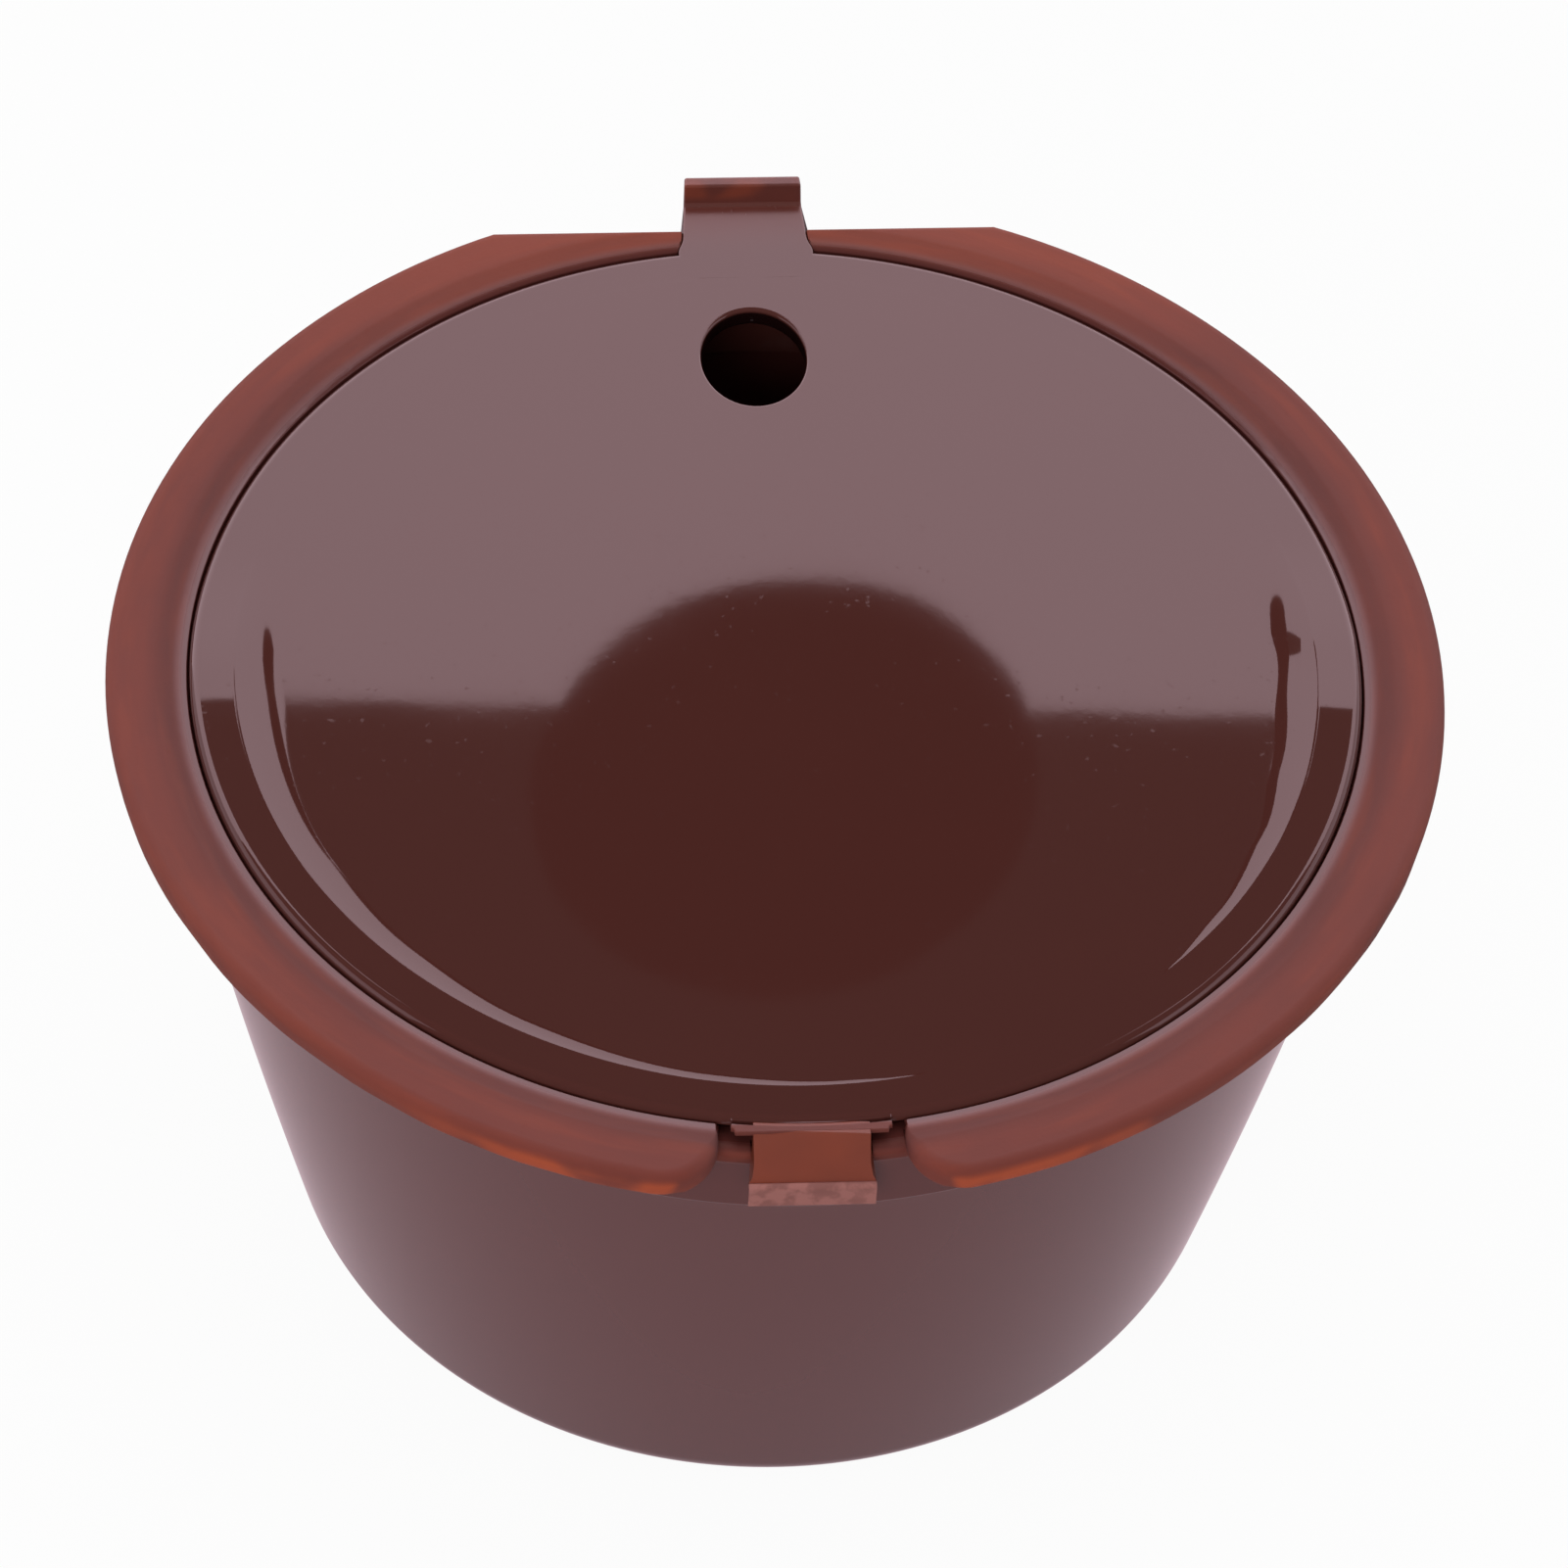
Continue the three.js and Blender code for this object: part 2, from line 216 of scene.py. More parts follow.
def block(name: str, low: Sequence[float], high: Sequence[float]) -> bpy.types.Object:
    """Makes a box, for cutting and for ribs.

    Args:
        name: the object's name.
        low: its lowest corner.
        high: its highest corner.

    Returns:
        The closed solid.
    """
    bm = bmesh.new()
    middle = Matrix.Translation((Vector(low) + Vector(high)) / 2)
    size = Matrix.Diagonal(Vector(high) - Vector(low)).to_4x4()
    bmesh.ops.create_cube(bm, size=1.0, matrix=middle @ size)
    return finished(name, bm)


def mirrored(right: Sequence[Point], height: float) -> list[Vector]:
    """A plan outline at a height, from its right half and the same half mirrored."""
    left = [(-x, y) for x, y in reversed(right)]
    return [Vector((x, y, height)) for x, y in [*right, *left]]


def bake(obj: bpy.types.Object) -> None:
    """Makes an object's modifiers part of its mesh.

    Args:
        obj: the object, whose old mesh is removed.
    """
    graph = bpy.context.evaluated_depsgraph_get()
    graph.update()
    mesh = bpy.data.meshes.new_from_object(obj.evaluated_get(graph))
    old = obj.data
    obj.modifiers.clear()
    obj.data = mesh
    bpy.data.meshes.remove(old)


def combine(base: bpy.types.Object, tool: bpy.types.Object, how: Join) -> bpy.types.Object:
    """Adds a solid to another or cuts it away, and deletes the tool.

    Args:
        base: the solid that is changed.
        tool: the solid that is added or taken away.
        how: which of the two.

    Returns:
        The changed base.
    """
    modifier = base.modifiers.new(how.name.lower(), "BOOLEAN")
    modifier.operation = how.value
    modifier.solver = "EXACT"
    modifier.object = tool
    bake(base)
    bpy.data.meshes.remove(tool.data)
    return base


def polish(
    obj: bpy.types.Object, edge: float = 0.0, sharp_degrees: float = 35.0
) -> bpy.types.Object:
    """Cleans a solid, rounds its crisp edges a little and shades it smooth.

    Args:
        obj: the solid.
        edge: the width of the rounding, or 0 for none.
        sharp_degrees: edges that turn more than this stay crisp in the shading.

    Returns:
        The same object.
    """
    bm = bmesh.new()
    bm.from_mesh(obj.data)
    in_order(bm)
    bmesh.ops.remove_doubles(bm, verts=bm.verts, dist=0.004 * MM)
    bmesh.ops.dissolve_degenerate(bm, dist=0.001 * MM, edges=bm.edges)
    bmesh.ops.dissolve_limit(bm, angle_limit=math.radians(0.003), verts=bm.verts, edges=bm.edges)
    bm.to_mesh(obj.data)
    bm.free()
    if edge > 0:
        bevel = obj.modifiers.new("crisp edges", "BEVEL")
        bevel.width = edge
        bevel.segments = 2
        bevel.limit_method = "ANGLE"
        bevel.angle_limit = math.radians(40)
        bevel.use_clamp_overlap = False
        bake(obj)
    obj.data.shade_smooth()
    obj.data.set_sharp_from_angle(angle=math.radians(sharp_degrees))
    even = obj.modifiers.new("even shading", "WEIGHTED_NORMAL")
    even.keep_sharp = True
    bake(obj)
    return obj


def level(obj: bpy.types.Object, sharp_degrees: float = 32.0) -> bpy.types.Object:
    """Keeps level faces level in the shading up to their smooth borders, so they mirror cleanly.

    Args:
        obj: the solid, already shaded smooth.
        sharp_degrees: faces that turn away by more than this keep their own normals.

    Returns:
        The same object.
    """
    mesh = obj.data
    flat = {}
    for face in mesh.polygons:
        if abs(face.normal.z) > 0.999999:
            flat.update((v, face.normal.copy()) for v in face.vertices)
    limit = math.cos(math.radians(sharp_degrees))
    normals = [corner.vector.copy() for corner in mesh.corner_normals]
    for face in mesh.polygons:
        for loop, vertex in zip(face.loop_indices, face.vertices):
            if vertex in flat and flat[vertex].dot(face.normal) > limit:
                normals[loop] = flat[vertex]
    mesh.normals_split_custom_set(normals)
    return obj


def dress(obj: bpy.types.Object, material: bpy.types.Material) -> bpy.types.Object:
    """Gives a piece its one material.

    Args:
        obj: the piece.
        material: its finish.

    Returns:
        The same object.
    """
    obj.data.materials.clear()
    obj.data.materials.append(material)
    return obj


# Materials

Value = Union[float, "Socket"]
Share = Callable[["Shader"], "Socket"]


@dataclass
class Socket:
    """A node's output that can be used in arithmetic: each operator adds its Math node."""

    shader: "Shader"
    output: bpy.types.NodeSocket

    def _math(self, operation: str, *values: Value) -> "Socket":
        """Adds a Math node on the values."""
        return self.shader.out("ShaderNodeMath", {"operation": operation}, dict(enumerate(values)))

    def __add__(self, other: Value) -> "Socket":
        """This value plus another."""
        return self._math("ADD", self, other)

    __radd__ = __add__

    def __sub__(self, other: Value) -> "Socket":
        """This value less another."""
        return self._math("SUBTRACT", self, other)

    def __rsub__(self, other: Value) -> "Socket":
        """Another value less this one."""
        return self._math("SUBTRACT", other, self)

    def __mul__(self, other: Value) -> "Socket":
        """This value times another."""
        return self._math("MULTIPLY", self, other)

    __rmul__ = __mul__

    def __neg__(self) -> "Socket":
        """This value with its sign turned."""
        return self._math("MULTIPLY", self, -1.0)

    def angle_to(self, other: Value) -> "Socket":
        """The angle whose tangent is this value over the other, in radians."""
        return self._math("ARCTAN2", self, other)

    def clamped(self) -> "Socket":
        """The value held between 0 and 1."""
        return self.shader.out("ShaderNodeClamp", {}, {"Value": self})

    def step(self, start: float, end: float) -> "Socket":
        """0 before start, 1 after end, and a smooth rise between them."""
        inputs = {"Value": self, "From Min": start, "From Max": end}
        smooth = {"interpolation_type": "SMOOTHSTEP"}
        return self.shader.out("ShaderNodeMapRange", smooth, inputs)


class Shader:
    """A node tree of a material or of the world."""

    def __init__(self, owner: Union[bpy.types.Material, bpy.types.World]) -> None:
        """Empties the owner's node tree.

        Args:
            owner: the material or the world.
        """
        owner.use_nodes = True
        self.owner = owner
        self.tree = owner.node_tree
        self.tree.nodes.clear()

    @classmethod
    def named(cls, name: str) -> "Shader":
        """The empty shader of a new material."""
        return cls(bpy.data.materials.new(name))

    def add(self, kind: str, settings: dict, inputs: dict) -> bpy.types.Node:
        """Adds a node.

        Args:
            kind: the node's type.
            settings: its properties, such as a Math node's operation.
            inputs: values or sockets by the input's name or number.

        Returns:
            The node.
        """
        made = self.tree.nodes.new(kind)
        for key, value in settings.items():
            setattr(made, key, value)
        for key, value in inputs.items():
            if isinstance(value, Socket):
                self.tree.links.new(value.output, made.inputs[key])
            else:
                made.inputs[key].default_value = value
        return made

    def out(self, kind: str, settings: dict, inputs: dict, output: Union[int, str] = 0) -> Socket:
        """Adds a node and wraps one of its outputs."""
        return Socket(self, self.add(kind, settings, inputs).outputs[output])

    def place(self) -> Socket:
        """The point's place on the object, in metres."""
        return self.out("ShaderNodeTexCoord", {}, {}, "Object")

    def coordinate(self, name: str) -> Socket:
        """One coordinate of the point's place, X, Y or Z."""
        return self.out("ShaderNodeSeparateXYZ", {}, {0: self.place()}, name)

    def distance(self) -> Socket:
        """The point's distance from the pod's axis."""
        on_plan = {0: self.place(), 1: (1, 1, 0)}
        flat = self.out("ShaderNodeVectorMath", {"operation": "MULTIPLY"}, on_plan)
        return self.out("ShaderNodeVectorMath", {"operation": "LENGTH"}, {0: flat}, "Value")

    def ray(self, kind: str) -> Socket:
        """1 for rays of a kind, such as Camera or Glossy, and 0 for all others."""
        return self.out("ShaderNodeLightPath", {}, {}, f"Is {kind} Ray")

    def noise(self, spot: Socket, scale: float, detail: float) -> Socket:
        """A noise value at a place, about 0.5 on average."""
        inputs = {"Vector": spot, "Scale": scale, "Detail": detail}
        return self.out("ShaderNodeTexNoise", {}, inputs)

    def grain(self, scale: float, detail: float = 3.0) -> Socket:
        """A noise value over the object.

        Args:
            scale: how many features there are in a metre.
            detail: how many finer layers are added.

        Returns:
            The noise.
        """
        return self.noise(self.place(), scale, detail)

    def ring_grain(self, across: float, around: float, detail: float = 3.0) -> Socket:
        """A noise value in streaks that run round the pod's axis.

        Args:
            across: how many features there are in a metre outwards.
            around: how many features there are in a radian.
            detail: how many finer layers are added.

        Returns:
            The noise.
        """
        angle = self.coordinate("X").angle_to(self.coordinate("Y"))
        out, up = self.distance() * across, self.coordinate("Z") * across
        polar = self.out("ShaderNodeCombineXYZ", {}, {"X": out, "Y": angle * around, "Z": up})
        return self.noise(polar, 1.0, detail)

    def mix(
        self, share: Value, first: Union[Colour, Socket], second: Union[Colour, Socket]
    ) -> Socket:
        """Mixes two colours.

        Args:
            share: 0 gives the first and 1 the second.
            first: a colour or a socket.
            second: a colour or a socket.

        Returns:
            The mixed colour.
        """
        ends = [c if isinstance(c, Socket) else (*c, 1.0) for c in (first, second)]
        inputs = {0: share, 6: ends[0], 7: ends[1]}
        return self.out("ShaderNodeMix", {"data_type": "RGBA"}, inputs, 2)

    def blend(self, share: Value, first: Socket, second: Socket) -> Socket:
        """Mixes two shaders: a share of 0 gives the first and 1 the second."""
        return self.out("ShaderNodeMixShader", {}, {0: share, 1: first, 2: second})

    def bump(self, height: Socket, depth: float, strength: float = 1.0) -> Socket:
        """A normal that follows a height value, raised by depth in metres."""
        inputs = {"Strength": strength, "Distance": depth, "Height": height}
        return self.out("ShaderNodeBump", {}, inputs, "Normal")

    def surface(self, **inputs: object) -> bpy.types.Material:
        """Closes a material with a Principled surface.

        Args:
            inputs: the surface's inputs, with spaces written as underscores.

        Returns:
            The material.
        """
        named = {key.replace("_", " "): value for key, value in inputs.items()}
        return self.close(self.out("ShaderNodeBsdfPrincipled", {}, named))

    def glow(self, strength: Value, colour: Colour = (1.0, 1.0, 1.0)) -> Socket:
        """A light of that strength and colour."""
        return self.out("ShaderNodeEmission", {}, {"Color": (*colour, 1.0), "Strength": strength})

    def close(self, shaded: Socket) -> Union[bpy.types.Material, bpy.types.World]:
        """Links a shader to the tree's output and returns the tree's owner."""
        end = "World" if isinstance(self.owner, bpy.types.World) else "Material"
        self.add(f"ShaderNodeOutput{end}", {}, {"Surface": shaded})
        return self.owner


@dataclass(frozen=True)
class BrownPlastic:
    """Moulded brown polypropylene: deep brown where thick, warmer where light gets through it."""

    name: str
    deep: Colour = (0.079, 0.022, 0.018)
    thin: Colour = (0.195, 0.038, 0.025)
    glow_through: Colour = (0.42, 0.070, 0.022)
    # Near-black painted shade, for a recess whose inside lies in shadow, such as the needle hole's
    # wall.
    stain_and_shade: Colour = (0.010, 0.003, 0.003)
    gloss: float = 0.026
    satin: float = 0.82
    ripple: float = 0.012 * MM

    def made(
        self,
        thinness: Share,
        dullness: Share,
        lit_through: Share,
        shaded: Union[Share, None] = None,
    ) -> bpy.types.Material:
        """Makes the material.

        Args:
            thinness: gives the share of the thin colour over the piece.
            dullness: gives the share of the satin finish over the piece.
            lit_through: gives the share of the orange of light that comes through an edge.
            shaded: gives the share of the near-black painted shade, or None for none.

        Returns:
            The material.
        """
        shader = Shader.named(self.name)
        dull = dullness(shader)
        cloud = shader.grain(170.0, 4.0)
        streaks = shader.ring_grain(2200.0, 9.0, 4.0)
        fleck = shader.grain(3200.0, 1.0)
        clouded = (cloud - 0.5) * (dull * 0.55 + 0.06)
        share = thinness(shader) + clouded + (streaks - 0.5) * dull * 0.35
        brown = shader.mix(share.clamped(), self.deep, self.thin)
        colour = shader.mix(lit_through(shader).clamped(), brown, self.glow_through)
        # Painted shade: mixes the near-black colour in where shaded says.
        if shaded:
            colour = shader.mix(shaded(shader), colour, self.stain_and_shade)
        haze = fleck.step(0.68, 0.80) * 0.05
        rough = dull * (self.satin - self.gloss) + self.gloss
        uneven = (cloud - 0.5) * 0.015 + streaks * dull * 0.06 + haze
        ripple = streaks * dull * 1.2 + shader.grain(110.0, 1.0) * 0.3
        relief = ripple + shader.grain(1500.0, 3.0) * (dull * 1.2 + 0.01)
        return shader.surface(
            Base_Color=colour,
            Roughness=(rough + uneven).clamped(),
            Normal=shader.bump(relief, self.ripple),
            IOR=1.49,
        )


@dataclass(frozen=True)
class WovenSteel:
    """Bright stainless wire, with a little stain."""

    name: str = "woven_steel"
    bright: Colour = (0.62, 0.61, 0.60)
    # The colour of the wire's real stains, mixed in at random places.
    stain_and_shade: Colour = (0.42, 0.38, 0.34)

    def made(self) -> bpy.types.Material:
        """Makes the material."""
        shader = Shader.named(self.name)
        stain = shader.grain(260.0, 4.0)
        drawn = shader.grain(4000.0, 2.0)
        return shader.surface(
            Base_Color=shader.mix(stain.step(0.45, 0.7), self.bright, self.stain_and_shade),
            Roughness=(drawn * 0.12 + 0.24).clamped(),
            Metallic=1.0,
            Normal=shader.bump(drawn, 0.01 * MM, 0.3),
        )


def evenly(share: float) -> Share:
    """The same share all over, with a faint variation."""
    return lambda shader: shader.grain(400.0) * 0.1 + (share - 0.05)


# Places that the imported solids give


@dataclass(frozen=True)
class PodPlaces:
    """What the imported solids' boxes say, and the sizes that two pieces share, in metres."""

    flange_radius: float
    height: float
    finger_cut: float
    lid_radius: float
    tab_end: float
    plug_bottom: float
    fold_front: float
    ring_bottom: float
    ring_top: float
    ring_radius: float
    screen_bottom: float
    screen_radius: float
    rim_grow: float = 0.06 * MM
    seat_drop: float = 1.0 * MM
    snap_drop: float = 2.65 * MM
    notch_width: float = 7.2 * MM

    @property
    def rim_radius(self) -> float:
        """The lid's outer radius, a little more than the solid's."""
        return self.lid_radius + self.rim_grow

    @property
    def seat(self) -> float:
        """The height of the rim's underside, which the cup's mouth carries."""
        return self.height - self.seat_drop

    @property
    def snap(self) -> float:
        """The height of the lid's snap bead and of its groove in the cup."""
        return self.seat - self.snap_drop

    @classmethod
    def read(cls) -> "PodPlaces":
        """Reads the places from the frame."""
        _, cup_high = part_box("cup")
        lid_low, lid_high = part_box("lid")
        ring_low, ring_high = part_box("filter_ring")
        screen_low, screen_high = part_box("filter_screen")
        return cls(
            flange_radius=cup_high[0],
            height=cup_high[2],
            finger_cut=cup_high[1],
            lid_radius=lid_high[0],
            tab_end=lid_high[1],
            plug_bottom=lid_low[2],
            fold_front=lid_low[1],
            ring_bottom=ring_low[2],
            ring_top=ring_high[2],
            ring_radius=ring_high[0],
            screen_bottom=screen_low[2],
            screen_radius=screen_high[0],
        )


@dataclass(frozen=True)
class TabPlan:
    """The pull tab's outline in plan, which the slot in the flange follows."""

    root: float = 5.4 * MM
    tip: float = 4.9 * MM
    flare: float = 0.17 * MM
    flare_length: float = 0.65 * MM

    def half_width(self, out: float, length: float) -> float:
        """Half the tab's width at a distance beyond the lid's edge.

        Args:
            out: the distance beyond the edge.
            length: the tab's whole length beyond the edge.

        Returns:
            Half the width there.
        """
        share = max(out, 0.0) / length
        flared = self.flare * (1 - eased(out, -0.15 * MM, self.flare_length))
        return (self.root + (self.tip - self.root) * share) / 2 + flared


# Sub-assemblies


@dataclass
class CupShell:
    """The moulded cup: taper, collar, flange with its cut-outs, floor, ribs and outlet."""

    at: PodPlaces
    flange_thickness: float = 1.4 * MM
    flange_edge: float = 0.5 * MM
    band_width: float = 1.33 * MM
    band_depth: float = 0.27 * MM
    lid_gap: float = 0.09 * MM
    tab_clearance: float = 0.03 * MM
    plan: TabPlan = TabPlan()
    lid_seat_width: float = 0.52 * MM
    collar_radius: float = 24.65 * MM
    collar_height: float = 2.8 * MM
    collar_step: float = 0.2 * MM
    base_radius: float = 19.8 * MM
    base_corner: float = 1.9 * MM
    wall_bulge: float = 0.15 * MM
    wall: float = 1.3 * MM
    notch_corner: float = 2.2 * MM
    strap_slot_half: float = 2.32 * MM
    strap_slot_drop: float = 1.75 * MM
    standing_ring: float = 1.8 * MM
    base_recess: float = 0.8 * MM
    floor: float = 1.2 * MM
    outlet_radius: float = 1.6 * MM
    nozzle_radius: float = 2.9 * MM
    rib_count: int = 8
    rib_width: float = 0.8 * MM
    seat_width: float = 2.5 * MM
    bead: float = 0.5 * MM
    spare: float = 2.0 * MM

    @property
    def flange_bottom(self) -> float:
        """The height of the flange's underside."""
        return self.at.height - self.flange_thickness

    @property
    def step(self) -> float:
        """The height of the step under the collar."""
        return self.flange_bottom - self.collar_height

    @property
    def bore(self) -> float:
        """The radius of the cup's mouth."""
        return self.at.lid_radius - self.lid_seat_width

    @property
    def lean(self) -> float:
        """The wall's lean from upright, in radians."""
        return math.atan2(self.collar_radius - self.collar_step - self.base_radius, self.step)

    @property
    def tangent(self) -> float:
        """How far the base's corner reaches along the base and up the wall."""
        return self.base_corner * math.tan((math.pi / 2 - self.lean) / 2)

    def outside(self, height: float) -> float:
        """The wall's outer radius at a height."""
        start = self.tangent * math.cos(self.lean)
        share = min(max((height - start) / (self.step - start), 0.0), 1.0)
        straight = self.base_radius + height * math.tan(self.lean)
        return straight + self.wall_bulge * 4 * share * (1 - share)

    def inside(self, height: float) -> float:
        """The wall's inner radius at a height."""
        return min(self.outside(height) - self.wall / math.cos(self.lean), self.bore)

    def body(self) -> bpy.types.Object:
        """The turned body: base, wall, collar, bore and floor, without the flange."""
        flat = self.base_radius - self.tangent
        recess = flat - self.standing_ring
        floor_top = self.base_recess + self.floor
        screen_seat = self.at.screen_bottom
        seat_inner = self.at.screen_radius - self.seat_width
        bead_middle = self.at.ring_top + 0.7 * MM
        small = 0.3 * MM
        groove = self.at.snap
        wall_start = self.tangent * math.cos(self.lean)
        profile = [
            (self.outlet_radius, 0.15 * MM),
            (self.nozzle_radius - 0.5 * MM, 0.15 * MM),
            (self.nozzle_radius, self.base_recess),
            (recess - 0.5 * MM, self.base_recess),
            *arc((recess + small, small), small, 200, 270, 4),
            *arc((flat, self.base_corner), self.base_corner, -90, -math.degrees(self.lean), 12),
            *[(self.outside(z), z) for z in spaced(wall_start, self.step, 28)[1:]],
            (self.collar_radius - 0.03 * MM, self.step + 0.08 * MM),
            (self.collar_radius, self.step + self.collar_step),
            *arc((self.collar_radius - 0.2 * MM, self.at.seat - 0.2 * MM), 0.2 * MM, 0, 90, 4),
            *arc((self.bore + small, self.at.seat - small), small, 90, 180, 4),
            (self.bore, groove + 0.6 * MM),
            (self.bore + 0.15 * MM, groove + 0.15 * MM),
            (self.bore + 0.15 * MM, groove - 0.15 * MM),
            (self.bore, groove - 0.6 * MM),
            *[(self.inside(z), z) for z in spaced(groove - 0.9 * MM, bead_middle + self.bead, 20)],
            *arc((self.inside(bead_middle), bead_middle), self.bead, 120, 240, 6),
            (self.inside(screen_seat), bead_middle - 0.6 * MM),
            (self.inside(screen_seat), screen_seat),
            (seat_inner, screen_seat),
            (seat_inner, floor_top),
            *arc((self.outlet_radius + 0.5 * MM, floor_top - 0.5 * MM), 0.5 * MM, 90, 180, 4),
        ]
        return spun("cup_shell", profile)

    def flange_outline(self) -> list[Vector]:
        """The flange in plan: a circle with a straight finger cut behind and a notch in front."""
        radius = self.at.flange_radius
        half = self.at.notch_width / 2
        centre_x = half + self.notch_corner
        centre_y = -math.sqrt((radius - self.notch_corner) ** 2 - centre_x**2)
        tangent = math.degrees(math.atan2(centre_y, centre_x))
        end = arc((centre_x, centre_y), self.notch_corner, 180, tangent + 360, 14)
        cut = math.degrees(math.asin(self.at.finger_cut / radius))
        rim = arc((0, 0), radius, tangent, cut, 90)
        return mirrored([(half, -0.7 * radius), *end, *rim[1:]], self.flange_bottom)

    def flange(self) -> bpy.types.Object:
        """The flange: its outline drawn up, rounded, and hollowed for the lid."""
        rise = UP * self.flange_thickness
        made = drawn_out("flange", self.flange_outline(), rise, self.flange_edge, 6)
        recess = self.at.rim_radius + self.lid_gap
        top = self.at.height
        small = 0.08 * MM
        band = [
            (recess + small + s * (self.band_width - small), top - self.band_depth * (1 - s**1.3))
            for s in spaced(0.0, 1.0, 8)
        ]
        hollow = [
            (0.0, self.flange_bottom - self.spare),
            (recess, self.flange_bottom - self.spare),
            *arc((recess + small, top - self.band_depth - small), small, 180, 90, 4)[:-1],
            *band,
            (recess + self.band_width, top + self.spare),
            (0.0, top + self.spare),
        ]
        return combine(made, spun("hollow", hollow), Join.CUT)

    def flash(self, made: bpy.types.Object) -> None:
        """Makes the flange's lower outer edge a little uneven, as its trimmed moulding line is.

        Args:
            made: the flange.
        """
        edge = self.at.flange_radius - 0.45 * MM
        for vertex in made.data.vertices:
            radius = math.hypot(vertex.co.x, vertex.co.y)
            if radius > edge and vertex.co.z < self.flange_bottom + 0.6 * MM:
                wave = noise.noise(vertex.co * (0.45 / MM)) * 0.05 * MM - 0.05 * MM
                vertex.co.x *= 1 + wave / radius
                vertex.co.y *= 1 + wave / radius

    def ribs(self, shell: bpy.types.Object) -> None:
        """Adds the radial ribs that hold the screen off the floor.

        Args:
            shell: the cup's body, which is changed.
        """
        low_z = self.base_recess + self.floor - 0.2 * MM
        reach = self.at.screen_radius - self.seat_width / 2
        half = self.rib_width / 2
        low, high = (2 * self.outlet_radius, -half, low_z), (reach, half, self.at.screen_bottom)
        for i in range(self.rib_count):
            rib = block("rib", low, high)
            rib.data.transform(Matrix.Rotation(math.tau * (i + 0.5) / self.rib_count, 4, "Z"))
            combine(shell, rib, Join.ADD)

    def tab_slot(self) -> bpy.types.Object:
        """A cutter that follows the pull tab's sides closely."""
        lid = self.at.lid_radius
        length = self.at.tab_end - lid
        stops = [-0.6 * MM, *spaced(-0.1 * MM, 1.2 * MM, 13), length + self.spare]
        widths = [self.plan.half_width(out, length) + self.tab_clearance for out in stops]
        plan = mirrored([(half, lid + out) for half, out in zip(widths, stops)], self.at.seat)
        return drawn_out("tab_slot", plan, UP * (self.at.seat_drop + self.spare))

    def build(self) -> bpy.types.Object:
        """Builds and dresses the cup.

        Returns:
            The finished piece, riding on the cup's body.
        """
        shell = self.body()
        self.ribs(shell)
        flange = self.flange()
        self.flash(flange)
        combine(shell, flange, Join.ADD)
        combine(shell, self.tab_slot(), Join.CUT)
        wide = self.at.flange_radius + self.spare
        recess_y = -(self.bore + 0.5 * self.wall)
        leaf_top = self.at.height - self.strap_slot_drop
        half = self.strap_slot_half
        high = (half, recess_y, self.at.height + self.spare)
        combine(shell, block("slot", (-half, -wide, leaf_top), high), Join.CUT)
        polish(shell, 0.05 * MM, 32)
        dress(shell, self.finish())
        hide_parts("cup")
        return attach(shell, "cup")

    def finish(self) -> bpy.types.Material:
        """The cup's plastic: glossy wall, lighter satin flange, orange where it is lit through."""
        collar = self.collar_radius
        edge = self.at.flange_radius
        side = edge - 0.32 * MM

        def on_flange(shader: Shader) -> Socket:
            """1 on the flange and 0 on the wall."""
            out = shader.distance().step(collar - 0.9 * MM, collar - 0.2 * MM)
            low = self.flange_bottom
            return out * shader.coordinate("Z").step(low - 0.15 * MM, low)

        def thinness(shader: Shader) -> Socket:
            """How much of the thin colour shows: less on the band beside the lid."""
            beyond = shader.distance().step(collar - 0.1 * MM, collar + 1.0 * MM)
            return on_flange(shader) * (beyond * 0.50 + 0.35)

        def lit_through(shader: Shader) -> Socket:
            """Patches on the flange's side face, strongest beside the notch.

            Args:
                shader: the material's shader.

            Returns:
                The share of orange.
            """
            face = shader.distance().step(side, side + 0.2 * MM)
            low = shader.coordinate("Z").step(self.at.height - 0.15 * MM, self.at.height - 0.6 * MM)
            front = (-shader.coordinate("Y")).step(edge * 0.80, edge * 0.95)
            behind = shader.coordinate("Y").step(edge * 0.55, edge * 0.9)
            patch = shader.ring_grain(300.0, 7.0, 2.0).step(0.42, 0.62)
            streak = shader.ring_grain(1100.0, 4.0, 3.0).step(0.45, 0.7)
            patches = face * low * patch * (front * 0.75 + 0.12)
            return (patches + behind * 0.28 + streak * 0.12) * on_flange(shader)

        plastic = BrownPlastic("cup_plastic", deep=(0.092, 0.023, 0.020))
        return plastic.made(thinness, on_flange, lit_through)


